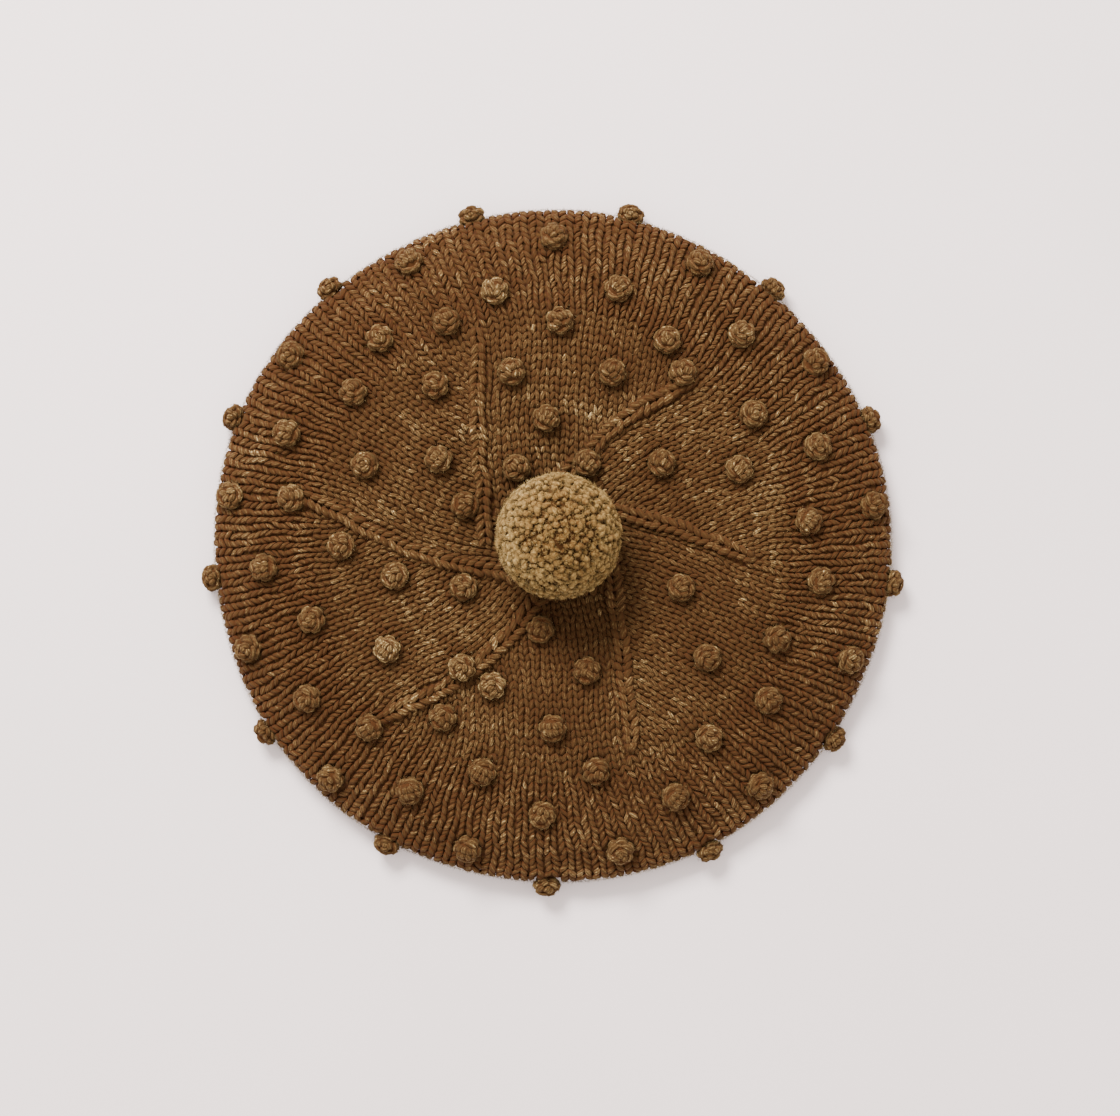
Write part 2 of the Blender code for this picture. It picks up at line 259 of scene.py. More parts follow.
class Value:
    """A socket of numbers on which arithmetic adds Math nodes."""

    def __init__(self, graph: "Graph", socket: bpy.types.NodeSocket) -> None:
        """Keep the graph and the socket."""
        self.graph = graph
        self.socket = socket

    def _math(self, operation: str, *others: "Value | float",
              first: "Value | float | None" = None) -> "Value":
        """Add one Math node.

        Args:
            operation: The node's operation.
            *others: What follows the first input.
            first: The first input, this value if it is left out.

        Returns:
            The node's result.
        """
        inputs = [self if first is None else first, *others]
        return self.graph.add("ShaderNodeMath", {"operation": operation}, dict(enumerate(inputs)))

    def __add__(self, other: "Value | float") -> "Value":
        """Add."""
        return self._math("ADD", other)

    __radd__ = __add__

    def __sub__(self, other: "Value | float") -> "Value":
        """Subtract."""
        return self._math("SUBTRACT", other)

    def __rsub__(self, other: float) -> "Value":
        """Subtract from a number."""
        return self._math("SUBTRACT", self, first=other)

    def __mul__(self, other: "Value | float") -> "Value":
        """Multiply."""
        return self._math("MULTIPLY", other)

    __rmul__ = __mul__

    def __pow__(self, other: float) -> "Value":
        """Raise to a power."""
        return self._math("POWER", other)

    def wave(self) -> "Value":
        """A smooth wave from 0 to 1, one for each unit."""
        return self._math("SINE", first=self * (2 * math.pi)) * 0.5 + 0.5

    def clamped(self) -> "Value":
        """The value held between 0 and 1."""
        return self.graph.add("ShaderNodeClamp", {}, {"Value": self})


class Graph:
    """The node tree of one material."""

    def __init__(self, name: str) -> None:
        """Make a material, and find its tree and its shader."""
        self.material = bpy.data.materials.new(name)
        self.material.use_nodes = True
        self.tree = self.material.node_tree
        self.shader = self.tree.nodes["Principled BSDF"]

    def add(self, kind: str, settings: dict, inputs: dict, output: int | str = 0) -> Value:
        """Add a node.

        Args:
            kind: The node's type.
            settings: Its own settings, which are set before its sockets. A ramp's
                stops are given as pairs of place and colour.
            inputs: Numbers, hexadecimal colours or links for its sockets, by name or
                number.
            output: The socket that is wanted.

        Returns:
            The wanted output.
        """
        node = self.tree.nodes.new(kind)
        for name, setting in settings.items():
            if name == "stops":
                self._set_stops(node.color_ramp, setting)
            else:
                setattr(node, name, setting)
        for name, given in inputs.items():
            if isinstance(given, Value):
                self.tree.links.new(given.socket, node.inputs[name])
            else:
                plain = linear_colour(given) if isinstance(given, str) else given
                node.inputs[name].default_value = plain
        return Value(self, node.outputs[output])

    @staticmethod
    def _set_stops(ramp: bpy.types.ColorRamp, stops: tuple) -> None:
        """Give a ramp its stops.

        Args:
            ramp: The ramp of a new node, with its two stops.
            stops: Pairs of place and hexadecimal colour.
        """
        while len(ramp.elements) < len(stops):
            ramp.elements.new(0.5)
        for element, (place, colour) in zip(ramp.elements, stops):
            element.position = place
            element.color = linear_colour(colour)

    def attribute(self, name: str) -> Value:
        """A number stored on the piece's points."""
        return self.add("ShaderNodeAttribute", {"attribute_name": name}, {}, "Fac")

    def strand(self) -> tuple[Value, Value]:
        """Turns of twist along a yarn, and the share of the way round it."""
        uv = self.add("ShaderNodeUVMap", {"uv_map": STRAND_MAP}, {})
        split = self.tree.nodes.new("ShaderNodeSeparateXYZ")
        self.tree.links.new(uv.socket, split.inputs[0])
        return Value(self, split.outputs[0]), Value(self, split.outputs[1])

    def place(self) -> Value:
        """Object coordinates, which are metres in the beret's own frame."""
        return self.add("ShaderNodeTexCoord", {}, {}, "Object")

    def grain(self, scale: float, detail: float = 2.0, place: Value | None = None) -> Value:
        """Noise between 0 and 1.

        Args:
            scale: Repeats in a metre.
            detail: Octaves of finer noise.
            place: Where it is read, the object coordinates if left out.

        Returns:
            The noise.
        """
        where = place or self.place()
        return self.add("ShaderNodeTexNoise", {}, {"Vector": where, "Scale": scale, "Detail": detail})

    def combine(self, x: Value, y: Value, z: Value) -> Value:
        """A vector of three numbers."""
        return self.add("ShaderNodeCombineXYZ", {}, {0: x, 1: y, 2: z})

    def ramp(self, factor: Value, stops: tuple) -> Value:
        """A colour picked from a ramp."""
        return self.add("ShaderNodeValToRGB", {"stops": stops}, {"Fac": factor})

    def mix(self, factor: Value, first: "Value | str", second: "Value | str") -> Value:
        """Mix two colours by the share of the second."""
        return self.add("ShaderNodeMix", {"data_type": "RGBA"}, {0: factor, 6: first, 7: second}, 2)

    def bump(self, height: Value, distance: float, strength: float) -> Value:
        """A bumped normal.

        Args:
            height: Height from 0 to 1.
            distance: Metres that 1 stands for.
            strength: How much of it shows.

        Returns:
            The normal.
        """
        sockets = {"Height": height, "Distance": distance, "Strength": strength}
        return self.add("ShaderNodeBump", {}, sockets)

    def finish(self, colour: Value, roughness: Value, normal: Value,
               sheen: float) -> bpy.types.Material:
        """Feed the shader.

        Args:
            colour: Base colour.
            roughness: Roughness.
            normal: Bumped normal.
            sheen: Weight of the wool's soft sheen.

        Returns:
            The material.
        """
        for name, given in (("Base Color", colour), ("Roughness", roughness), ("Normal", normal)):
            self.tree.links.new(given.socket, self.shader.inputs[name])
        self.shader.inputs["Sheen Weight"].default_value = sheen
        self.shader.inputs["Sheen Roughness"].default_value = 0.6
        self.shader.inputs["Specular IOR Level"].default_value = 0.15
        return self.material


@dataclass(frozen=True)
class YarnFinish:
    """Hand-dyed plied wool, seen along one strand, with painted shade in the gaps between strands and
    painted highlights along the plies.
    """

    name: str
    # gap is the colour of the painted shade in the gaps between strands.
    gap: str = "441a09"
    deep: str = "37220f"
    dark: str = "3b2812"
    middle: str = "443018"
    light: str = "725c39"
    pale: str = "eacd93"
    plies: int = 6
    ply_depth: float = 0.00022
    fuzz_scale: float = 1500.0
    shadow: float = 0.88
    sheen: float = 0.06
    gloss: str = "e8d8c0"

    def material(self) -> bpy.types.Material:
        """The finish as a material."""
        graph = Graph(self.name)
        along, around = graph.strand()
        tone = graph.attribute("tone")
        dye = graph.attribute("dye")
        depth = graph.attribute("depth")
        own = tone * 41.0 + dye * 17.0
        fibre = graph.grain(1.0, 3.0, graph.combine(along * 3.0, around * 14.0 + along * 2.0, own))
        ply = (along + around * self.plies + (fibre - 0.5) * 0.7).wave()
        fuzz = graph.grain(self.fuzz_scale, 2.0)
        # The ply term paints a highlight along each ply and shade in the grooves between plies into the
        # colour; the bump below gives the plies' real relief.
        shade = tone * 0.26 + dye * 0.38 + ply * 0.20 + fibre * 0.82 + fuzz * 0.50 - 0.60
        stops = ((0.05, self.deep), (0.28, self.dark), (0.52, self.middle),
                 (0.76, self.light), (1.00, self.pale))
        lit = graph.ramp(shade.clamped(), stops)
        # Painted shade: where depth is low, in the gaps between strands and at the ends and flanks of
        # each strand, the colour is mixed towards the gap colour.
        painted_shade = (1 - depth) ** 0.85 * self.shadow
        colour = graph.mix(painted_shade, lit, self.gap)
        normal = graph.bump(ply * 0.6 + fibre * 0.4, self.ply_depth, 1.0)
        graph.shader.inputs["Specular Tint"].default_value = linear_colour(self.gloss)
        graph.shader.inputs["Sheen Tint"].default_value = linear_colour(self.pale)
        return graph.finish(colour, 0.80 + fibre * 0.18, normal, self.sheen)


@dataclass(frozen=True)
class InsideFinish:
    """The wall behind the stitches: shadowed wool, with purl bumps in rounds."""

    name: str
    dark: str = "36190a"
    light: str = "523718"
    row: float = 0.0031
    columns: int = 130

    def material(self) -> bpy.types.Material:
        """The finish as a material."""
        graph = Graph(self.name)
        along, around = graph.strand()
        rounds = (along * (1 / self.row)).wave()
        bumps = (around * self.columns).wave()
        fibre = graph.grain(1800.0, 3.0)
        purl = rounds * (0.55 + bumps * 0.45)
        stops = ((0.0, self.dark), (1.0, self.light))
        # The purl bumps' tops are painted lighter and their dips darker, as painted light and shade over
        # the bumps.
        colour = graph.ramp((purl * 0.7 + fibre * 0.3).clamped(), stops)
        normal = graph.bump(purl * 0.8 + fibre * 0.2, 0.0008, 0.8)
        return graph.finish(colour, 0.85 + fibre * 0.14, normal, 0.0)


@dataclass(frozen=True)
class StageFinish:
    """Plain pale cloth under the beret."""

    name: str = "pale ground"
    light: str = "ffeeeb"
    shade: str = "faeae6"

    def material(self) -> bpy.types.Material:
        """The finish as a material."""
        graph = Graph(self.name)
        cloud = graph.grain(6.0, 2.0)
        stops = ((0.3, self.shade), (0.7, self.light))
        grain = graph.grain(900.0, 2.0)
        normal = graph.bump(grain, 0.0001, 0.3)
        return graph.finish(graph.ramp(cloud, stops), 0.9 + grain * 0.05, normal, 0.0)


@dataclass
class Shape:
    """A small closed shape held as arrays, ready to be copied many times."""

    points: np.ndarray
    corners: np.ndarray
    sizes: np.ndarray
    strand: np.ndarray
    depth: np.ndarray

    @classmethod
    def from_bmesh(cls, shape: bmesh.types.BMesh, depth: list[float]) -> "Shape":
        """Read a bmesh, and free it.

        Args:
            shape: The shape, as blank_shape starts it.
            depth: How far each point stands out of the shadow, from 0 to 1.

        Returns:
            The shape as arrays.
        """
        shape.verts.ensure_lookup_table()
        shape.verts.index_update()
        layer = shape.loops.layers.uv[STRAND_MAP]
        loops = [loop for face in shape.faces for loop in face.loops]
        made = cls(
            np.array([vert.co for vert in shape.verts]),
            np.array([loop.vert.index for loop in loops]),
            np.array([len(face.verts) for face in shape.faces]),
            np.array([loop[layer].uv for loop in loops]),
            np.array(depth),
        )
        shape.free()
        return made


@dataclass
class Knitting:
    """Copies of small shapes, gathered to be joined into one mesh."""

    name: str
    points: list[np.ndarray] = field(default_factory=list)
    corners: list[np.ndarray] = field(default_factory=list)
    sizes: list[np.ndarray] = field(default_factory=list)
    strand: list[np.ndarray] = field(default_factory=list)
    shades: dict[str, list[np.ndarray]] = field(
        default_factory=lambda: {"tone": [], "dye": [], "depth": []})
    count: int = 0

    def stamp(self, shape: Shape, turns: np.ndarray, places: np.ndarray, tone: np.ndarray,
              dye: np.ndarray) -> None:
        """Add a copy of the shape at each place.

        Args:
            shape: The shape to copy.
            turns: For each copy, a matrix whose columns carry the shape's axes.
            places: For each copy, where its origin goes.
            tone: For each copy, its yarn's own shade from 0 to 1.
            dye: For each copy, the shade of the dyeing there from 0 to 1, with painted shade and painted
                highlight added where they are given.
        """
        if len(places):
            moved = np.einsum("mij,nj->mni", turns, shape.points) + places[:, None, :]
            self.lay(shape, moved, tone, dye)

    def lay(self, shape: Shape, moved: np.ndarray, tone: np.ndarray, dye: np.ndarray) -> None:
        """Add copies of a shape whose points are already in place.

        Args:
            shape: The shape to copy.
            moved: For each copy, its points.
            tone: For each copy, its yarn's own shade from 0 to 1.
            dye: For each copy, the shade of the dyeing there from 0 to 1, with painted shade and painted
                highlight added where they are given.
        """
        copies, each, _ = moved.shape
        starts = self.count + np.arange(copies) * each
        self.points.append(moved.reshape(-1, 3))
        self.corners.append((shape.corners[None, :] + starts[:, None]).ravel())
        self.sizes.append(np.tile(shape.sizes, copies))
        self.strand.append(np.tile(shape.strand, (copies, 1)))
        self.shades["tone"].append(np.repeat(tone, each))
        self.shades["dye"].append(np.repeat(dye, each))
        self.shades["depth"].append(np.tile(shape.depth, copies))
        self.count += copies * each

    def join(self) -> bpy.types.Object:
        """All the copies as one smooth object."""
        points = np.concatenate(self.points)
        corners = np.concatenate(self.corners)
        sizes = np.concatenate(self.sizes)
        mesh = bpy.data.meshes.new(self.name)
        mesh.vertices.add(len(points))
        mesh.vertices.foreach_set("co", points.astype(np.float32).ravel())
        mesh.loops.add(len(corners))
        mesh.loops.foreach_set("vertex_index", corners.astype(np.int32))
        mesh.polygons.add(len(sizes))
        mesh.polygons.foreach_set("loop_start", (np.cumsum(sizes) - sizes).astype(np.int32))
        mesh.polygons.foreach_set("use_smooth", np.ones(len(sizes), dtype=bool))
        layer = mesh.uv_layers.new(name=STRAND_MAP)
        layer.data.foreach_set("uv", np.concatenate(self.strand).astype(np.float32).ravel())
        for name, parts in self.shades.items():
            shade = mesh.attributes.new(name, "FLOAT", "POINT")
            shade.data.foreach_set("value", np.concatenate(parts).astype(np.float32))
        mesh.update(calc_edges=True)
        return place_object(self.name, mesh)


def place_object(name: str, mesh: bpy.types.Mesh) -> bpy.types.Object:
    """Link a mesh into the scene as an object at the origin.

    Args:
        name: The object's name.
        mesh: Its mesh.

    Returns:
        The object.
    """
    made = bpy.data.objects.new(name, mesh)
    bpy.context.scene.collection.objects.link(made)
    return made


def object_from_bmesh(name: str, shape: bmesh.types.BMesh) -> bpy.types.Object:
    """Turn a bmesh into an object, and free it.

    Args:
        name: The object's name.
        shape: The bmesh.

    Returns:
        The object.
    """
    mesh = bpy.data.meshes.new(name)
    shape.to_mesh(mesh)
    shape.free()
    return place_object(name, mesh)


def blank_shape() -> bmesh.types.BMesh:
    """An empty bmesh with the map that the yarn's finish reads."""
    shape = bmesh.new()
    shape.loops.layers.uv.new(STRAND_MAP)
    return shape


def map_corners(shape: bmesh.types.BMesh, place: Callable[[Vector], tuple[float, float]]) -> None:
    """Map each corner of a shape by its own point.

    Args:
        shape: The shape, as blank_shape starts it.
        place: The two values of the map at a point.
    """
    layer = shape.loops.layers.uv[STRAND_MAP]
    for face in shape.faces:
        for loop in face.loops:
            loop[layer].uv = place(loop.vert.co)


def wrap_corners(shape: bmesh.types.BMesh, along: Callable[[Vector], float]) -> None:
    """Map a round shape: a value along it, and the share of the way round Z.

    Args:
        shape: The shape, as blank_shape starts it. The middle of a face decides on which
            side of the seam the face lies.
        along: The value along the shape at a point.
    """
    layer = shape.loops.layers.uv[STRAND_MAP]
    for face in shape.faces:
        middle = face.calc_center_median()
        seam = math.atan2(middle.y, middle.x) / (2 * math.pi)
        for loop in face.loops:
            spot = loop.vert.co
            around = math.atan2(spot.y, spot.x) / (2 * math.pi)
            loop[layer].uv = (along(spot), around + round(seam - around))


def spin_outline(shape: bmesh.types.BMesh, steps: int) -> None:
    """Turn the outline in a bmesh once round Z, and join it where it meets itself."""
    bmesh.ops.spin(shape, geom=shape.verts[:] + shape.edges[:], cent=(0, 0, 0), axis=(0, 0, 1),
                   angle=2 * math.pi, steps=steps, use_merge=True)
    bmesh.ops.remove_doubles(shape, verts=shape.verts, dist=MERGE_DISTANCE)


def turned_object(name: str, shape: bmesh.types.BMesh) -> bpy.types.Object:
    """Make an object of a turned shape, smooth, and mapped by radius and way round.

    Args:
        name: The object's name.
        shape: The shape, as blank_shape starts it, which is freed.

    Returns:
        The object.
    """
    bmesh.ops.recalc_face_normals(shape, faces=shape.faces)
    for face in shape.faces:
        face.smooth = True
    wrap_corners(shape, lambda spot: math.hypot(spot.x, spot.y))
    return object_from_bmesh(name, shape)


def dress(piece: bpy.types.Object, material: bpy.types.Material, node: str) -> None:
    """Finish a piece and tie it to the frame.

    Args:
        piece: The new piece.
        material: Its finish.
        node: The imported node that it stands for.
    """
    piece.data.materials.append(material)
    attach(piece, BODY)
    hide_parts(node)
    piece.data.calc_loop_triangles()
    LOG.info("%s: %d triangles", piece.name, len(piece.data.loop_triangles))


@dataclass(frozen=True)
class Leg:
    """One leg of a stitch: its spine in shares of the stitch, its yarn in metres."""

    side: Side
    sides: int = 6
    rings: int = 5
    length: float = 1.50
    yarn: float = 0.00106
    height: float = 0.00125
    lift: float = 0.0
    blunt: float = 2.8
    twist: float = 0.55

    def bent(self, x: float, out: float, along: float, full: float) -> tuple[float, ...]:
        """Where a point of the straight yarn goes.

        Args:
            x: Its place across the yarn, from -1 to 1.
            out: Its place off the fabric, from -1 to 1.
            along: Its place along the yarn, from -1 to 1.
            full: How much fuller than a ball's the yarn is there.

        Returns:
            Its place across, up and out of the stitch, and how well lit it is.
        """
        raise NotImplementedError

    def shape(self) -> Shape:
        """The leg, whose axes are across, up and out of the stitch, and across the yarn."""
        leg = yarn_segment(self.sides, self.rings, self.twist * self.side.value)
        points, depth = [], []
        for vert in leg.verts:
            x, out, along = vert.co
            full = (1 - abs(along) ** self.blunt) ** 0.5 / max((1 - along * along) ** 0.5, 0.2)
            across, up, off, lit = self.bent(x, out, along, full)
            points.append((self.side.value * across, up, off, self.side.value * self.yarn * x * full))
            depth.append(lit)
            vert.co.x *= self.side.value
        bmesh.ops.recalc_face_normals(leg, faces=leg.faces)
        made = Shape.from_bmesh(leg, depth)
        made.points = np.array(points)
        return made


@dataclass(frozen=True)
class YarnLeg(Leg):
    """A leg whose foot comes up through the stitch before it, its head under the next."""

    foot: float = 0.09
    lean: float = 0.32
    bow: float = 0.02
    shear: float = -0.08
    tuck: float = 0.0010
    dip: float = 0.0006

    def bent(self, x: float, out: float, along: float, full: float) -> tuple[float, ...]:
        """Where a point of the straight yarn goes, as Leg.bent says."""
        across = self.foot + self.lean * (along + 1) / 2 + self.bow * (1 - along * along)
        drop = self.tuck * max(along, 0.0) ** 2 + self.dip * max(-along, 0.0) ** 2
        return (across, along * self.length / 2 + self.shear * x * full,
                self.lift + self.height * out * full - drop,
                max(0.22 + 0.78 * out, 0.0) * (1 - 0.40 * abs(along) ** 3))


@dataclass(frozen=True)
class CordLeg(Leg):
    """A leg of a tight stitch, which winds over its half of the column like a cord's strand.

    It comes up at one side of its half and dives at the other, and is painted darker
    where it dives, so that straight dark lines part the cords.
    """

    length: float = 1.34
    yarn: float = 0.00020
    height: float = 0.00090
    lift: float = -0.0002
    blunt: float = 4.0
    middle: float = 0.25
    half_width: float = 0.205
    thickness: float = 0.510
    arch: float = 0.00080

    def bent(self, x: float, out: float, along: float, full: float) -> tuple[float, ...]:
        """Where a point of the straight yarn goes, as Leg.bent says."""
        turn = along * math.pi / 2
        crown = math.cos(turn)
        return (self.middle + self.half_width * math.sin(turn),
                along * self.length / 2 - self.thickness * x * full,
                self.lift + self.height * out * full + self.arch * crown,
                max(0.15 + 0.85 * out, 0.0) * (0.30 + 0.70 * crown))


def stitch_axes(side: np.ndarray, rise: np.ndarray) -> np.ndarray:
    """Axes of stitches.

    Args:
        side: For each stitch, its width across the column.
        rise: For each stitch, its height up the column.

    Returns:
        For each, a matrix of the axes across, up and out, and across the yarn. The last
        is one long in a column 5 mm wide, and a little longer in a wider one.
    """
    out = np.cross(side, rise)
    out /= np.linalg.norm(out, axis=1)[:, None]
    width = np.linalg.norm(side, axis=1)[:, None]
    plain = side / width * (width / 0.005) ** 0.5
    return np.stack([side, rise, out, plain], axis=2)


def yarn_segment(sides: int, rings: int, twist: float) -> bmesh.types.BMesh:
    """Make a segment of yarn of radius and half length one along Z, with its map.

    Args:
        sides: Sides of the yarn.
        rings: Segments along it.
        twist: How far the plies turn over its half length.

    Returns:
        The segment.
    """
    shape = blank_shape()
    bmesh.ops.create_uvsphere(shape, u_segments=sides, v_segments=rings, radius=1.0)
    wrap_corners(shape, lambda spot: spot.z * twist)
    return shape


@dataclass(frozen=True)
class CrownForm:
    """The knitted body's outer skin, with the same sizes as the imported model."""

    crown_radius: float = 0.1350
    crown_rise: float = 0.0080
    edge_height: float = 0.0125
    edge_roll: float = 0.0070
    knit_thickness: float = 0.0026
    underside_inner_radius: float = 0.0860
    line_offset: float = 0.0294
    line_reach: float = 0.0920
    line_width: float = 0.0066
    line_height: float = 0.0013
    curl_start: float = 0.0600
    curl_span: float = 0.0320
    seat_radius: float = 0.0206
    wave_height: float = 0.00045
    stray: float = 0.00028
    laid_reach: float = 0.0580
    laid_ease: float = 0.0120
    step: float = 0.00025
    path: dict[str, np.ndarray] = field(default_factory=dict, compare=False)

    def __post_init__(self) -> None:
        """Work out the skin's half section as a fine path from the middle outwards."""
        flat = self.crown_radius - self.edge_roll
        span = flat - self.seat_radius
        stations = [(0.0, self.edge_height + STATIONS[0].rise * self.crown_rise)]
        for station in STATIONS:
            rise = self.edge_height + station.rise * self.crown_rise
            stations.append((self.seat_radius + station.radius * span, rise))
        radii = np.arange(0.0, flat, self.step)
        heights = np.interp(radii, *np.array(stations).T)
        heights = self._eased(heights, 21)
        turns = np.linspace(math.pi / 2, -math.pi / 2, 90)
        half = self.edge_height / 2
        under = np.arange(flat, self.underside_inner_radius, -self.step)
        radius = np.concatenate([radii, flat + self.edge_roll * np.cos(turns), under])
        height = np.concatenate([heights, half + half * np.sin(turns), np.zeros(len(under))])
        length = np.concatenate([[0.0], np.cumsum(np.hypot(np.diff(radius), np.diff(height)))])
        even = np.arange(0.0, length[-1], self.step)
        radius = self._eased(np.interp(even, length, radius), 7)
        height = self._eased(np.interp(even, length, height), 7)
        self.path.update(length=even, radius=radius, height=np.maximum(height, 0.0))

    @staticmethod
    def _eased(values: np.ndarray, width: int) -> np.ndarray:
        """Round a path's corners by averaging, twice over the width.

        Args:
            values: Values at even steps.
            width: An odd number of steps.

        Returns:
            As many values, eased.
        """
        kernel = np.ones(width) / width
        for _ in range(2):
            start = 2 * values[0] - values[width // 2:0:-1]
            end = 2 * values[-1] - values[-2:-width // 2 - 1:-1]
            values = np.convolve(np.concatenate([start, values, end]), kernel, mode="valid")
        return values

    @property
    def flat_radius(self) -> float:
        """Radius at which the top starts to turn down."""
        return self.crown_radius - self.edge_roll

    @property
    def total(self) -> float:
        """Length of the skin from the middle of the top to the underside's inner edge."""
        return float(self.path["length"][-1])

    def length_at(self, radius: float) -> float:
        """Length along the skin from the middle to a radius of the top."""
        top = self.path["radius"][:int(self.flat_radius / self.step)]
        return float(np.interp(radius, top, self.path["length"][:len(top)]))

    def radius_at(self, length: np.ndarray | float) -> np.ndarray:
        """Radius at a length along the skin."""
        return np.interp(length, self.path["length"], self.path["radius"])

    def laid(self, length: np.ndarray) -> np.ndarray:
        """How far the fabric lies on the surface at a length along the skin, from 0 to 1."""
        start = self.total - self.laid_reach
        return smooth_step(start, start + self.laid_ease, length)

    def swell(self, bearing: np.ndarray, radius: np.ndarray) -> np.ndarray:
        """How the outline swells at a bearing in degrees, full at the edge."""
        total = sum(s.share * np.cos(s.lobes * np.radians(bearing - s.bearing)) for s in SWAYS)
        return 1.0 + total * smooth_step(0.0, self.crown_radius, radius)

    def line_bearing(self, section: Section, radius: float) -> float:
        """Bearing at which a section's raised line crosses a radius, its curl left out."""
        offset = self.line_offset * section.aside
        span = min(max(radius, offset * 1.1), self.line_reach)
        return section.bearing + math.degrees(math.asin(offset / span))

    def line_side(self, section: Section, out: np.ndarray | float) -> np.ndarray:
        """How far to the side of its bearing a raised line runs.

        Args:
            section: The section that the line starts.
            out: Distances outwards along the bearing.

        Returns:
            Distances anticlockwise of the bearing, which shrink where the line curls in.
        """
        share = np.clip((self.curl_start - np.asarray(out)) / self.curl_span, 0.0, 1.5)
        return self.line_offset * section.aside - section.curl * share ** 1.7

    def line_lean(self, section: Section, out: float) -> float:
        """Degrees by which a raised line leans anticlockwise of its bearing."""
        ahead = self.line_side(section, out + self.step) - self.line_side(section, out - self.step)
        return math.degrees(math.atan(float(ahead) / (2 * self.step)))

    def relief(self, flat: np.ndarray, radius: np.ndarray) -> np.ndarray:
        """Height of the raised lines and of the fabric's slow waves.

        Args:
            flat: Points of the skin laid flat, as x and y.
            radius: Their radii on the real skin.

        Returns:
            Height above the plain skin.
        """
        bearing = np.arctan2(flat[:, 1], flat[:, 0])
        raised = np.zeros(len(flat))
        for section in SECTIONS:
            turn = bearing - math.radians(section.bearing)
            out = radius * np.cos(turn)
            off = radius * np.sin(turn) - self.line_side(section, out)
            reach = section.reach * self.crown_radius
            end = 1 - smooth_step(reach - self.line_width, reach + self.line_width, radius)
            start = smooth_step(0.0, self.line_width, out)
            raised += self.line_height * np.exp(-(off / (self.line_width * 0.45)) ** 2) * end * start
        calm = 1 - smooth_step(self.flat_radius - 0.02, self.flat_radius, np.hypot(*flat.T))
        wave = np.sin(flat[:, 0] * 171 + 1.3) * np.sin(flat[:, 1] * 143 + 0.4)
        wave += 0.6 * np.sin(flat[:, 0] * 67 - flat[:, 1] * 89 + 2.0)
        return raised + self.wave_height * wave * calm

    def warp(self, flat: np.ndarray) -> np.ndarray:
        """Small drifts by which real knitting strays from its grid.

        Args:
            flat: Points of the skin laid flat, as x and y.

        Returns:
            How far each point strays.
        """
        x, y = flat.T
        calm = 1 - smooth_step(self.flat_radius - 0.006, self.flat_radius + 0.006, np.hypot(x, y))
        east = np.sin(x * 190 + y * 260 + 0.7) + 0.8 * np.sin(x * 410 - y * 330 + 2.1)
        north = np.sin(x * 280 - y * 170 + 1.9) + 0.8 * np.sin(x * 350 + y * 450 + 0.2)
        return self.stray * calm[:, None] * np.stack([east, north], axis=1)

    def surface(self, flat: np.ndarray, lower: np.ndarray | float = 0.0) -> np.ndarray:
        """Carry points from the skin laid flat to the real skin.

        Args:
            flat: Points as x and y, whose distance from the origin is the length along
                the skin.
            lower: How far below the skin each point is sunk, along Z.

        Returns:
            Points in the beret's frame.
        """
        flat = flat + self.warp(flat)
        length = np.hypot(*flat.T)
        bearing = np.degrees(np.arctan2(flat[:, 1], flat[:, 0]))
        radius = self.radius_at(length)
        height = np.interp(length, self.path["length"], self.path["height"])
        reach = radius * self.swell(bearing, radius)
        around = np.radians(bearing)
        height = height + self.relief(flat, radius) - lower
        return np.stack([reach * np.cos(around), reach * np.sin(around), height], axis=1)


@dataclass
class Stitches:
    """Places of stitches on the skin laid flat."""

    centre: np.ndarray
    outward: np.ndarray
    width: np.ndarray
    height: np.ndarray
    row: np.ndarray

    def picked(self, keep: np.ndarray) -> "Stitches":
        """Only the stitches that are kept."""
        return Stitches(self.centre[keep], self.outward[keep], self.width[keep],
                        self.height[keep], self.row[keep])


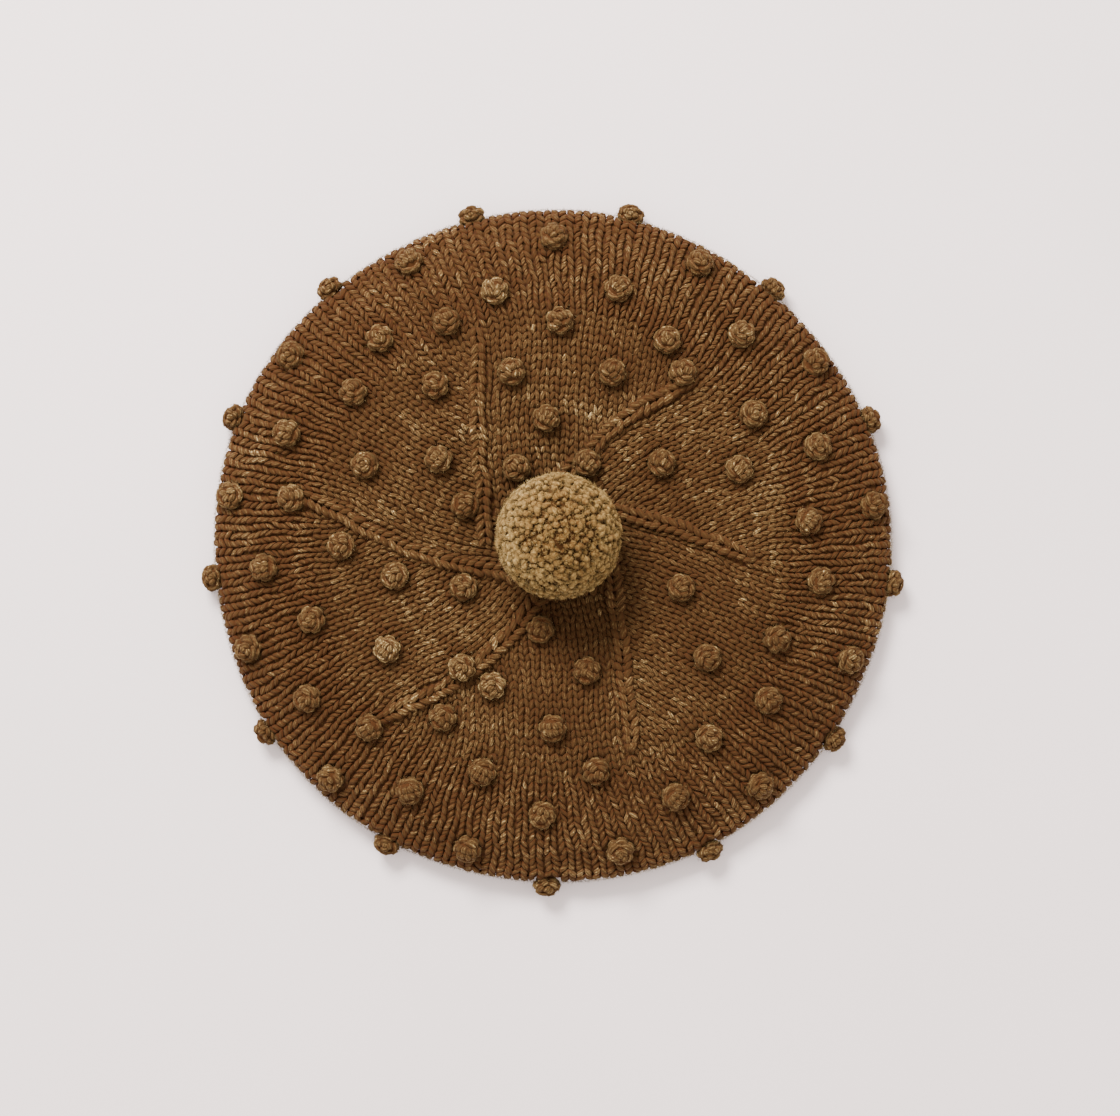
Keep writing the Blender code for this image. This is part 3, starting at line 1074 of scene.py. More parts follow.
@dataclass
class KnitCrown:
    """Stitches of the crown's top, turned edge and underside."""

    form: CrownForm
    columns: int = 130
    rim_row: float = 0.00262
    inner_row: float = 0.00305
    under_row: float = 0.0028
    line_row: float = 0.0032
    line_column: float = 0.0068
    drift: float = 5.5
    fan: tuple[tuple[float, float], ...] = (
        (0.060, 0.0), (0.073, 0.1), (0.085, 0.35), (0.093, 1.0))
    turn: tuple[tuple[float, float], ...] = (
        (0.030, 6.0), (0.042, 2.0), (0.059, -2.0), (0.073, -3.0),
        (0.088, -1.0), (0.097, 3.0), (0.105, 5.5))
    row_ease: tuple[float, float] = (0.085, 0.105)
    line_start: float = 0.002
    line_taper: float = 0.012
    line_overlap: float = 1.06
    middle_start: float = 0.0165
    middle_end: float = 0.0560
    middle_round: float = 0.0029
    middle_spacing: float = 0.0042
    middle_width: float = 0.0044
    middle_height: float = 0.0031
    under_reach: float = 0.0450
    inner_radius: float = 0.0200
    beside_line: float = 0.08
    follow: float = 0.0250
    bobble_hole: float = 0.0046
    room: float = 0.0031
    seed: int = 11

    def column_direction(self, section: Section, point: np.ndarray) -> np.ndarray:
        """Which way a column runs outwards at a point of a section laid flat.

        Args:
            section: The section.
            point: The point, as x and y.

        Returns:
            The direction, of length one.
        """
        radius = math.hypot(*point)
        offset = (math.degrees(math.atan2(point[1], point[0])) - section.bearing + 180) % 360 - 180
        fan = np.interp(radius, *np.array(self.fan).T)
        turn = np.interp(radius, *np.array(self.turn).T)
        past, out = self.past_line(section, point)
        turn += self.form.line_lean(section, out) * math.exp(-abs(past) / self.follow)
        angle = math.radians(section.bearing + fan * offset + turn)
        return np.array([math.cos(angle), math.sin(angle)])

    def row_height(self, radius: float) -> float:
        """Height of a row at a length along the skin."""
        ease = float(smooth_step(*self.row_ease, radius))
        return self.inner_row + (self.rim_row - self.inner_row) * ease

    def past_line(self, section: Section, point: np.ndarray) -> tuple[float, float]:
        """Where a point lies beside a section's raised line.

        Args:
            section: The section.
            point: The point, as x and y.

        Returns:
            Its distance anticlockwise of the line, and its distance outwards along it.
        """
        turn = math.atan2(point[1], point[0]) - math.radians(section.bearing)
        out = math.hypot(*point) * math.cos(turn)
        return math.hypot(*point) * math.sin(turn) - float(self.form.line_side(section, out)), out

    def inward_column(self, index: int, number: int) -> Iterator[tuple]:
        """Follow one column from the start of the turned edge towards the middle.

        Args:
            index: The section's index.
            number: The column's number in the section, from its raised line.

        Yields:
            Centre, outward direction, width, height and row of each stitch.
        """
        section = SECTIONS[index]
        following = SECTIONS[(index + 1) % len(SECTIONS)]
        form = self.form
        first = form.line_bearing(section, form.line_reach)
        gap = (first - form.line_bearing(following, form.line_reach)) % 360
        start = form.length_at(form.flat_radius - form.step)
        twist = math.degrees(math.tan(math.radians(self.drift)) * math.log(start / form.line_reach))
        bearing = first + twist - gap * number / section.columns
        around = math.radians(bearing)
        point = start * np.array([math.cos(around), math.sin(around)])
        width = math.radians(gap / section.columns) * start
        row = 0
        while True:
            radius = math.hypot(*point)
            outward = self.column_direction(section, point)
            height = self.row_height(radius)
            if not number and radius < section.reach * form.crown_radius:
                return
            if radius < form.line_reach:
                past, _ = self.past_line(section, point)
                beyond, out = self.past_line(following, point)
                if number and -past < width * self.beside_line:
                    return
                if radius < self.inner_radius or (out > 0 and beyond < width * self.beside_line):
                    return
            yield point, outward, width, height, row
            fan = float(np.interp(radius, *np.array(self.fan).T))
            width *= 1 - fan * height / radius
            point = point - outward * height
            row -= 1

    def outward_column(self, index: int, number: int) -> Iterator[tuple]:
        """Follow one column over the turned edge and in along the underside.

        Args:
            index: The section's index.
            number: The column's number in the section.

        Yields:
            Centre, outward direction, width, height and row of each stitch.
        """
        section = SECTIONS[index]
        point, outward, width, height, _ = next(self.inward_column(index, number))
        direction = point / math.hypot(*point)
        length = math.hypot(*point) + height
        angle = width / math.hypot(*point)
        row = 1
        while length < self.form.total - self.under_row * 0.6:
            under = length > self.form.total - self.under_reach
            height = self.under_row if under else self.rim_row
            yield direction * length, direction, angle * length, height, row
            length += height
            row += 1

    def gathered(self, places: list[tuple]) -> Stitches:
        """Turn a list of stitch places into arrays."""
        centre, outward, width, height, row = (np.array(part) for part in zip(*places))
        return Stitches(centre, outward, width, height, row)

    def line_stitches(self, section: Section) -> Stitches:
        """The chevrons of a raised line, which point outwards.

        Args:
            section: The section that the line starts.

        Returns:
            The line's stitches.
        """
        form = self.form
        around = math.radians(section.bearing)
        along = np.array([math.cos(around), math.sin(around)])
        across = np.array([-along[1], along[0]])
        reach = math.sqrt((section.reach * form.crown_radius) ** 2 - form.line_offset ** 2)
        places = []
        for row, out in enumerate(np.arange(self.line_start, reach, self.line_row)):
            centre = along * out + across * float(form.line_side(section, out))
            lean = math.tan(math.radians(form.line_lean(section, out)))
            outward = (along + across * lean) / math.hypot(1.0, lean)
            stretch = form.length_at(math.hypot(*centre)) / math.hypot(*centre)
            taper = reach - self.line_taper
            ease = float(smooth_step(reach, taper, out)) if out > taper else 1.0
            width = self.line_column * (0.72 + 0.28 * ease)
            places.append((centre * stretch, -outward, width, self.line_row * self.line_overlap, row))
        return self.gathered(places)

    def section_at(self, point: np.ndarray) -> Section:
        """The section that a point near the middle lies in."""
        bearing = math.degrees(math.atan2(point[1], point[0]))
        radius = math.hypot(*point)
        return min(SECTIONS, key=lambda one: (self.form.line_bearing(one, radius) - bearing) % 360)

    def middle_stitches(self, knitted: np.ndarray) -> Stitches:
        """Rounds of stitches in the middle, wherever the columns have left room.

        Args:
            knitted: Centres of the stitches there already.

        Returns:
            The stitches that fill the room.
        """
        places = []
        radii = np.arange(self.middle_start, self.middle_end, self.middle_round)
        for row, radius in enumerate(radii):
            count = round(2 * math.pi * radius / self.middle_spacing)
            for number in range(count):
                around = 2 * math.pi * (number + 0.5 * (row % 2)) / count
                centre = radius * np.array([math.cos(around), math.sin(around)])
                if np.hypot(*(knitted - centre).T).min() > self.room:
                    outward = self.column_direction(self.section_at(centre), centre)
                    places.append((centre, outward, self.middle_width, self.middle_height, row))
        return self.gathered(places)

    def frames(self, stitches: Stitches) -> tuple[np.ndarray, np.ndarray]:
        """Carry stitches to the real skin.

        Args:
            stitches: Their places on the skin laid flat.

        Returns:
            The axes of each, as stitch_axes gives them, and its place.
        """
        up = stitches.outward * stitches.height[:, None]
        aside = np.stack([stitches.outward[:, 1], -stitches.outward[:, 0]], axis=1)
        across = aside * stitches.width[:, None]
        surface = self.form.surface
        side = surface(stitches.centre + across / 2) - surface(stitches.centre - across / 2)
        rise = surface(stitches.centre + up / 2) - surface(stitches.centre - up / 2)
        return stitch_axes(side, rise), surface(stitches.centre)

    def sunk(self, stitches: Stitches, turns: np.ndarray, places: np.ndarray,
             above: float) -> np.ndarray:
        """Press the underside's stitches up, so that they rest on the surface.

        Args:
            stitches: The stitches.
            turns: Their axes.
            places: Their places.
            above: How far the yarn stands out of the skin.

        Returns:
            The places, moved inwards where the fabric lies on the surface.
        """
        share = self.form.laid(np.hypot(*stitches.centre.T))
        return places - turns[:, :, 2] * (share * above)[:, None]


def dye_shades(places: np.ndarray, rows: np.ndarray) -> np.ndarray:
    """Shade of the hand dyeing, which drifts along each row and in broad patches.

    Args:
        places: Points in the beret's frame.
        rows: The row that each stands in.

    Returns:
        Shades from 0 to 1.
    """
    shades = []
    for place, row in zip(places, rows):
        patch = noise.noise(Vector(place) * 24.0)
        around = math.atan2(place[1], place[0])
        along = math.hypot(place[0], place[1]) * around
        streak = noise.noise(Vector((along * 38.0, row * 5.31, 2.7)))
        fine = noise.noise(Vector((along * 110.0, row * 9.17, 8.1)))
        shades.append(0.5 + 0.30 * patch + 0.36 * streak + 0.25 * fine)
    return np.clip(np.array(shades), 0.0, 1.0)


@dataclass
class Crown:
    """The knitted body: its stitches and the wall behind them."""

    form: CrownForm
    knit: KnitCrown
    yarn: bpy.types.Material
    wall: bpy.types.Material
    bobble_places: np.ndarray
    legs: tuple[Shape, Shape]
    rim_legs: tuple[Shape, Shape]
    edge_legs: tuple[Shape, Shape]
    line_legs: tuple[Shape, Shape]
    under_legs: tuple[Shape, Shape]
    jitter: float = 0.06
    # Darkness of the painted shade round each bobble.
    bobble_ring_shade: float = 0.60
    rim_start: float = 0.094
    press: float = 0.00125
    # Where the painted shade round each bobble starts to fade, and how fast.
    bobble_shade_start: float = 0.0066
    bobble_shade_ease: float = 0.0022
    hidden_reach: float = 0.0470
    wall_rings: int = 46
    knitted: list[np.ndarray] = field(default_factory=list)

    def knit_stitches(self, knitting: Knitting, stitches: Stitches, legs: tuple[Shape, Shape],
                      rng: np.random.Generator, above: float) -> None:
        """Stamp both legs of every stitch.

        Args:
            knitting: Where they are gathered.
            stitches: Their places.
            legs: The left and the right leg.
            rng: Source of the small irregularities.
            above: How far the yarn stands out of the skin.
        """
        turns, places = self.knit.frames(stitches)
        places = self.knit.sunk(stitches, turns, places, above)
        # Painted shade: stitches in a ring round each bobble are darkened, as the shade there.
        dye = dye_shades(places, stitches.row) - self.bobble_ring_shade * self.beside_bobbles(places)
        for leg in legs:
            loose = turns * (1 + np.clip(rng.normal(0.0, self.jitter, (len(turns), 1, 4)), -0.12, 0.12))
            skew = rng.normal(0.0, self.jitter, (len(turns), 1))
            loose[:, :, 1] += turns[:, :, 0] * skew
            shift = turns[:, :, 0] * rng.normal(0.0, 0.03, (len(turns), 1))
            shift += turns[:, :, 2] * np.clip(rng.normal(0.0, 0.00016, (len(turns), 1)), -0.0003, 0.0003)
            tone = np.clip(rng.normal(0.5, 0.28, len(turns)), 0.0, 1.0)
            knitting.stamp(leg, loose, places + shift, tone, dye)

    def beside_bobbles(self, places: np.ndarray) -> np.ndarray:
        """How much painted shade a stitch takes in the ring round a bobble, from 0 to 1."""
        apart = places[:, None, :] - self.bobble_places[None, :, :]
        gaps = np.linalg.norm(apart, axis=2).min(axis=1)
        return np.exp(-np.maximum(gaps - self.bobble_shade_start, 0.0) / self.bobble_shade_ease)

    def clear_of_bobbles(self, stitches: Stitches) -> Stitches:
        """Leave out the stitches that a bobble hides."""
        places = self.form.surface(stitches.centre)
        gaps = np.linalg.norm(places[:, None, :] - self.bobble_places[None, :, :], axis=2)
        return stitches.picked(gaps.min(axis=1) > self.knit.bobble_hole)

    def build_section(self, index: int) -> None:
        """Knit one section, with its line and its share of the rim."""
        section = SECTIONS[index]
        rng = np.random.default_rng(self.knit.seed + index)
        places = []
        for number in range(section.columns):
            places += list(self.knit.inward_column(index, number))
        knitting = Knitting("knit_" + section.name)
        inner = self.clear_of_bobbles(self.knit.gathered(places))
        outer = np.hypot(*inner.centre.T) > self.rim_start
        self.knit_stitches(knitting, inner.picked(~outer), self.legs, rng, 0.0)
        self.knit_stitches(knitting, inner.picked(outer), self.rim_legs, rng, 0.0)
        line = self.knit.line_stitches(section)
        self.knitted += [self.knit.gathered(places).centre, line.centre]
        self.knit_stitches(knitting, self.clear_of_bobbles(line), self.line_legs, rng, 0.0)
        dress(knitting.join(), self.yarn, "crown")

    def build_edge(self) -> None:
        """Knit the turned edge and the underside, in halves."""
        for half, name in enumerate(("knit_under_right", "knit_under_left")):
            rng = np.random.default_rng(self.knit.seed + 20 + half)
            knitting = Knitting(name)
            turned = Knitting(name.replace("under", "edge"))
            under, edge = [], []
            for index in range(half * 3, half * 3 + 3):
                for number in range(SECTIONS[index].columns):
                    for place in self.knit.outward_column(index, number):
                        hidden = np.hypot(*place[0]) > self.form.total - self.hidden_reach
                        (under if hidden else edge).append(place)
            self.knit_stitches(knitting, self.knit.gathered(under), self.under_legs, rng, self.press)
            shown = self.clear_of_bobbles(self.knit.gathered(edge))
            self.knit_stitches(turned, shown, self.edge_legs, rng, self.press)
            dress(knitting.join(), self.yarn, "crown")
            dress(turned.join(), self.yarn, "crown")

    def build_middle(self) -> None:
        """Knit the rounds in the middle of the crown."""
        rng = np.random.default_rng(self.knit.seed + 40)
        knitting = Knitting("knit_middle")
        middle = self.clear_of_bobbles(self.knit.middle_stitches(np.concatenate(self.knitted)))
        self.knit_stitches(knitting, middle, self.legs, rng, 0.0)
        dress(knitting.join(), self.yarn, "crown")

    def build_wall(self, steps: int = 130, behind: float = 0.0005) -> None:
        """Turn the wall behind the stitches: an outer and an inner skin in one solid.

        Args:
            steps: Steps round the crown.
            behind: How far the outer skin lies behind the stitches.
        """
        form = self.form
        lengths = np.linspace(0.0, form.total, self.wall_rings)
        radius = form.radius_at(lengths)
        height = np.interp(lengths, form.path["length"], form.path["height"])
        slope = np.stack([np.gradient(radius), np.gradient(height)], axis=1)
        slope /= np.linalg.norm(slope, axis=1)[:, None]
        inward = np.stack([slope[:, 1], -slope[:, 0]], axis=1)
        inward[0] = (0.0, -1.0)
        skin = np.stack([radius, height], axis=1)
        outer = skin + inward * (behind + form.laid(lengths) * self.press)[:, None]
        inner = (skin + inward * form.knit_thickness)[::-1]
        outline = np.concatenate([outer, inner])
        outline[[0, -1], 0] = 0.0
        shell = blank_shape()
        verts = [shell.verts.new((point[0], 0.0, point[1])) for point in outline]
        for pair in zip(verts, verts[1:]):
            shell.edges.new(pair)
        spin_outline(shell, steps)
        self._press_wall(shell)
        dress(turned_object("crown_wall", shell), self.wall, "crown")

    def _press_wall(self, shell: bmesh.types.BMesh) -> None:
        """Give the turned wall the outline's sways and the relief of the lines."""
        points = np.array([vert.co for vert in shell.verts])
        radius = np.hypot(points[:, 0], points[:, 1])
        around = np.arctan2(points[:, 1], points[:, 0])
        swell = self.form.swell(np.degrees(around), radius)
        top = points[:, 2] > self.form.edge_height * 0.75
        lift = self.form.relief(points[:, :2], radius) * top
        for vert, scale, rise in zip(shell.verts, swell, lift):
            vert.co = (vert.co.x * scale, vert.co.y * scale, vert.co.z + rise)


@dataclass
class Bobbles:
    """The small knitted balls."""

    form: CrownForm
    yarn: bpy.types.Material
    diameter: float = 0.0120
    rise: float = 0.0067
    count: int = 13
    swing: float = 1.4
    swing_bearing: float = 25.0
    clearance: float = 0.0003
    slope_reach: float = 0.002
    golden: tuple[int, ...] = (29, 63, 68, 70)
    slim: float = 1.02
    wraps: tuple[tuple[float, float], ...] = ((0.36, 0.10), (-0.16, -0.42), (-0.62, -0.80))
    around: int = 6
    loose: float = 0.04
    spin: float = 0.45
    twist: float = 0.6
    seed: int = 5

    def shares(self) -> Iterator[tuple[float, float]]:
        """Share of the radius and bearing of every bobble."""
        for ring in RINGS:
            for number in range(self.count):
                bearing = ring.first + 360.0 * number / self.count
                swing = self.swing * math.cos(math.radians(bearing - self.swing_bearing))
                yield ring.shares[number % len(ring.shares)], bearing + swing
        for section in SECTIONS:
            for share, turn in section.bobbles:
                yield share, self.form.line_bearing(section, share * self.form.crown_radius) - turn

    def seat(self, share: float, bearing: float) -> tuple[Vector, Vector]:
        """Where a bobble is rooted in the skin, and which way it stands.

        Args:
            share: Its share of the crown's radius.
            bearing: Its bearing in degrees.

        Returns:
            Point and normal.
        """
        form = self.form
        radius = share * form.crown_radius
        around = math.radians(bearing)
        if radius >= form.flat_radius:
            middle = form.edge_height / 2
            turn = math.acos(min((radius - form.flat_radius) / form.edge_roll, 1.0))
            lift = max(middle * math.sin(turn), self.diameter / 2 + self.clearance - middle)
            slope = Vector((math.cos(turn) / form.edge_roll, 0.0, math.sin(turn) / middle))
            point = Vector((radius, 0.0, middle + min(lift, middle)))
        else:
            length = form.length_at(radius)
            flat = np.array([[math.cos(around), math.sin(around)]]) * length
            height = float(form.surface(flat)[0, 2])
            share = self.slope_reach / length
            ahead = form.surface(flat * (1 + share)) - form.surface(flat * (1 - share))
            slope = Vector((-float(ahead[0, 2]), 0.0, 2 * self.slope_reach))
            point = Vector((radius, 0.0, height))
        swell = float(form.swell(np.array(bearing), np.array(radius)))
        turned = Matrix.Rotation(around, 3, "Z")
        reach = Vector((point.x * swell, 0.0, point.z))
        return turned @ reach, (turned @ slope).normalized()

    def seats(self) -> list[tuple[Vector, Vector]]:
        """Every bobble's seat."""
        return [self.seat(share, bearing) for share, bearing in self.shares()]

    def ball(self) -> Shape:
        """The filling under a bobble's yarn, of radius one, painted dark as the shade between its
        strands.
        """
        shape = blank_shape()
        bmesh.ops.create_icosphere(shape, subdivisions=2, radius=1.0)
        map_corners(shape, lambda spot: (spot.z, 0.0))
        return Shape.from_bmesh(shape, [0.60] * len(shape.verts))

    def strand(self, rings: int) -> Shape:
        """A strand of radius and half length one along Y, out along Z."""
        shape = yarn_segment(6, rings, self.twist)
        depth = []
        for vert in shape.verts:
            across, out, along = vert.co
            vert.co = (-across, along, out)
            # Painted shade: each strand's flanks and ends are darkened through its depth.
            depth.append(max(0.40 + 0.60 * out, 0.0) * (1 - 0.35 * abs(along) ** 3))
        bmesh.ops.recalc_face_normals(shape, faces=shape.faces)
        return Shape.from_bmesh(shape, depth)

    def bent(self, strand: Shape, ends: np.ndarray, bend: float, width: float) -> np.ndarray:
        """Lay a strand on a ball of radius one.

        Args:
            strand: The straight strand.
            ends: Its two ends, as points of the ball or outside it.
            bend: How far its middle strays to its left.
            width: Its half width.

        Returns:
            Its points.
        """
        reaches = np.linalg.norm(ends, axis=1)
        first, last = ends / reaches[:, None]
        middle = (first + last) / np.linalg.norm(first + last)
        ahead = (last - first) / np.linalg.norm(last - first)
        left = np.cross(middle, ahead)
        reach = math.asin(min(np.linalg.norm(last - first) / 2, 1.0)) + width * 0.45
        across, along, out = strand.points.T
        turn = along * reach
        off = (bend * (1 - along ** 2) - across * width)[:, None]
        ring = middle * np.cos(turn)[:, None] + ahead * np.sin(turn)[:, None]
        rise = 1 - width * 0.85 + width * 0.85 * out - 0.18 * along ** 4
        rise *= reaches[0] + (reaches[1] - reaches[0]) * (along + 1) / 2
        return (ring * np.cos(off) + left * np.sin(off)) * rise[:, None]

    def strands(self, kind: tuple[Strand, ...], rng: np.random.Generator,
                turns_down: int) -> Iterator[tuple]:
        """The strands of one bobble.

        Args:
            kind: The pattern on its dome.
            rng: Source of its irregularities.
            turns_down: How many rounds of strands wrap it below the dome.

        Yields:
            Ends on the ball, bend and half width of each strand.
        """
        flip = rng.choice([-1.0, 1.0])
        for strand in kind:
            disc = np.array([[strand.x, strand.y], [strand.to_x, strand.to_y]])
            disc = (disc + rng.normal(0.0, self.loose, disc.shape)) * (flip, 1.0)
            reach = np.linalg.norm(disc, axis=1)
            disc *= (np.minimum(reach, 0.96) / reach)[:, None]
            height = np.sqrt(1 - (disc ** 2).sum(axis=1))
            width = strand.width * self.slim * rng.normal(1.0, 0.06)
            yield np.column_stack([disc, height]), strand.bend * flip, width
        for high, low in self.wraps[:turns_down]:
            start = rng.uniform(0.0, 2 * math.pi)
            for number in range(self.around):
                turns = start + 2 * math.pi * (number + np.array([0.0, 1.08])) / self.around
                heights = np.array([high, low]) + rng.normal(0.0, self.loose, 2)
                ring = np.sqrt(1 - heights ** 2)
                yield np.column_stack([ring * np.cos(turns), ring * np.sin(turns), heights]), 0.0, 0.28

    def build(self) -> None:
        """Knit every bobble."""
        rng = np.random.default_rng(self.seed)
        knitting = Knitting("bobbles")
        shapes = (self.ball(), self.strand(6), self.strand(5))
        half_height = (self.rise + self.form.knit_thickness) / 2
        half = np.array([self.diameter / 2, self.diameter / 2, half_height])
        for number, (root, normal) in enumerate(self.seats()):
            centre = root + normal * (self.rise - half_height)
            across = Vector((root.y, -root.x, 0.0)).normalized()
            along = normal.cross(across)
            edge = number < self.count
            axes = np.array([across, normal, -along] if edge else [across, along, normal]).T
            sizes = half[[0, 2, 1]] if edge else half
            spin = np.array(Matrix.Rotation(rng.uniform(-self.spin, self.spin), 3, "Z"))
            # Every bobble is painted a little lighter, as a highlight where it catches the light; the
            # golden ones are also dyed lighter.
            glow = 0.36 if number in self.golden else 0.04
            kind = BOBBLE_KINDS[rng.integers(len(BOBBLE_KINDS))]
            self._one(knitting, kind, axes * sizes @ spin, np.array(centre), shapes, rng, glow, edge)
        dress(knitting.join(), self.yarn, "crown")

    def _one(self, knitting: Knitting, kind: tuple[Strand, ...], turn: np.ndarray,
             centre: np.ndarray, shapes: tuple[Shape, Shape, Shape],
             rng: np.random.Generator, glow: float, edge: bool) -> None:
        """Knit one bobble.

        Args:
            knitting: Where it is gathered.
            kind: The pattern on its dome.
            turn: Its axes across, along and out, as long as its half sizes.
            centre: Its middle.
            shapes: The filling, a strand of the dome and a strand of the rounds below it.
            rng: Source of its irregularities.
            glow: How much lighter than the crown it is coloured: a painted highlight on every bobble,
                and more on the golden ones, which are dyed lighter.
            edge: Whether it stands on the turned edge, where more of it shows.
        """
        ball, dome, wrap = shapes
        patch = float(dye_shades(centre[None, :], np.array([rng.integers(40)]))[0])
        dye = np.array([min(max(patch, 0.45), 0.6) + glow])
        # The filling is painted darker, with a low tone and half the strands' value, as the shade
        # between the strands.
        knitting.stamp(ball, (turn * 0.72)[None], centre[None], np.array([0.2]), dye * 0.5)
        for number, (ends, bend, width) in enumerate(self.strands(kind, rng, 3 if edge else 2)):
            strand = dome if number < len(kind) else wrap
            points = self.bent(strand, ends, bend, width)
            tone = np.clip(rng.normal(0.62, 0.16, 1), 0, 1)
            knitting.lay(strand, (centre + points @ turn.T)[None], tone, dye)


@dataclass
class Fuzz:
    """Fine loose hairs that stand off the wool."""

    form: CrownForm
    thickness: float = 0.00012
    length: float = 0.0016
    floor_gap: float = 0.0002
    root: float = 0.0007
    top_start: float = 0.0180
    top_hairs: int = 12000
    edge_hairs: int = 12000
    edge_band: tuple[float, float] = (0.0080, 0.0130)
    bobble_hairs: int = 60
    bobble_half: tuple[float, float, float] = (0.0058, 0.0058, 0.0046)
    bobble_middle: float = 0.0018
    pompom_hairs: int = 9000
    pompom_sink: float = 0.0008
    seed: int = 901

    def hair(self) -> Shape:
        """One hair along Z, of length and width one, that tapers to a point."""
        shape = blank_shape()
        bmesh.ops.create_cone(shape, cap_ends=True, segments=3, radius1=0.5, radius2=0.0, depth=1.0,
                              matrix=Matrix.Translation((0.0, 0.0, 0.5)))
        bmesh.ops.remove_doubles(shape, verts=shape.verts, dist=0.0001)
        bmesh.ops.recalc_face_normals(shape, faces=shape.faces)
        map_corners(shape, lambda spot: (spot.z, 0.3))
        return Shape.from_bmesh(shape, [1.0] * len(shape.verts))

    def on_skin(self, rng: np.random.Generator, count: int, start: float, end: float,
                above: float) -> tuple[np.ndarray, np.ndarray]:
        """Random places on the knitted skin.

        Args:
            rng: Source of chance.
            count: How many.
            start: Least length along the skin.
            end: Greatest length along the skin.
            above: How far above the skin they lie.

        Returns:
            The places, a little above the skin, and their normals.
        """
        length = np.sqrt(rng.uniform(start ** 2, end ** 2, count))
        around = rng.uniform(0.0, 2 * math.pi, count)
        east, north = np.cos(around), np.sin(around)
        path = self.form.path
        ahead = np.interp(length, path["length"], np.gradient(path["radius"]))
        climb = np.interp(length, path["length"], np.gradient(path["height"]))
        normals = np.stack([-climb * east, -climb * north, ahead], axis=1)
        normals /= np.linalg.norm(normals, axis=1)[:, None]
        places = self.form.surface(length[:, None] * np.stack([east, north], axis=1))
        return places + normals * above, normals

    def on_ball(self, rng: np.random.Generator, count: int, centre: np.ndarray,
                half: np.ndarray, turn: np.ndarray) -> tuple[np.ndarray, np.ndarray]:
        """Random places on the upper part of a ball.

        Args:
            rng: Source of chance.
            count: How many.
            centre: Its middle.
            half: Its half sizes along its own axes.
            turn: Its axes, as columns.

        Returns:
            The places and their normals.
        """
        out = rng.normal(size=(count, 3))
        out[:, 2] = np.abs(out[:, 2]) - 0.25
        out /= np.linalg.norm(out, axis=1)[:, None]
        return centre + (out * half) @ turn.T, out @ turn.T

    def brush(self, knitting: Knitting, rng: np.random.Generator, roots: np.ndarray,
              normals: np.ndarray, lift: float, glow: float, short: float = 1.0) -> None:
        """Add a hair at each root.

        Args:
            knitting: Where they are gathered.
            rng: Source of chance.
            roots: Where they are rooted.
            normals: Which way is off the wool there.
            lift: The most that a hair stands up, in radians.
            glow: How much lighter than the wool the hairs are: a painted highlight, as light shines
                through loose hairs at the outlines.
            short: Share of the usual length.
        """
        count = len(roots)
        side = np.cross(normals, rng.normal(size=(count, 3)))
        side /= np.linalg.norm(side, axis=1)[:, None]
        rise = rng.uniform(-0.1, lift, (count, 1))
        along = side * np.cos(rise) + normals * np.sin(rise)
        first = np.cross(along, side + normals)
        first /= np.linalg.norm(first, axis=1)[:, None]
        second = np.cross(along, first)
        length = self.length * short * rng.uniform(0.5, 1.5, (count, 1))
        axes = np.stack([first * self.thickness, second * self.thickness, along * length], axis=2)
        tone = rng.uniform(0.4, 1.0, count)
        dye = dye_shades(roots, np.zeros(count)) + glow
        clear = (roots + axes[:, :, 2])[:, 2] > self.floor_gap
        knitting.stamp(self.hair(), axes[clear], roots[clear], tone[clear], dye[clear])

    def build_crown(self, yarn: bpy.types.Material, seats: list[tuple[Vector, Vector]]) -> None:
        """Brush up the crown, its edge and its bobbles.

        Args:
            yarn: The crown's finish.
            seats: Roots and normals of the bobbles.
        """
        rng = np.random.default_rng(self.seed)
        form = self.form
        knitting = Knitting("crown_fuzz")
        flat = form.length_at(form.flat_radius - form.step)
        low, high = self.edge_band
        top = self.on_skin(rng, self.top_hairs, self.top_start, flat, self.root)
        self.brush(knitting, rng, *top, 0.5, 0.0)
        edge = self.on_skin(rng, self.edge_hairs, flat + low, flat + high, self.root)
        # The hairs at the edge are painted lighter, as a highlight where light shines through them at
        # the outline.
        self.brush(knitting, rng, *edge, 1.4, 0.45, 0.7)
        for root, normal in seats:
            turn = np.array(normal.to_track_quat("Z", "Y").to_matrix())
            centre = np.array(root + normal * self.bobble_middle)
            half = np.array(self.bobble_half)
            ball = self.on_ball(rng, self.bobble_hairs, centre, half, turn)
            self.brush(knitting, rng, *ball, 0.7, 0.1)
        dress(knitting.join(), yarn, "crown")

    def build_pompom(self, yarn: bpy.types.Material, centre: np.ndarray, radius: float) -> None:
        """Brush up the pompom.

        Args:
            yarn: The pompom's finish.
            centre: Its middle.
            radius: Its radius.
        """
        rng = np.random.default_rng(self.seed + 1)
        knitting = Knitting("pompom_fuzz")
        half = np.full(3, radius - self.pompom_sink)
        ball = self.on_ball(rng, self.pompom_hairs, centre, half, np.eye(3))
        self.brush(knitting, rng, *ball, 1.4, 0.2)
        dress(knitting.join(), yarn, "pompom")


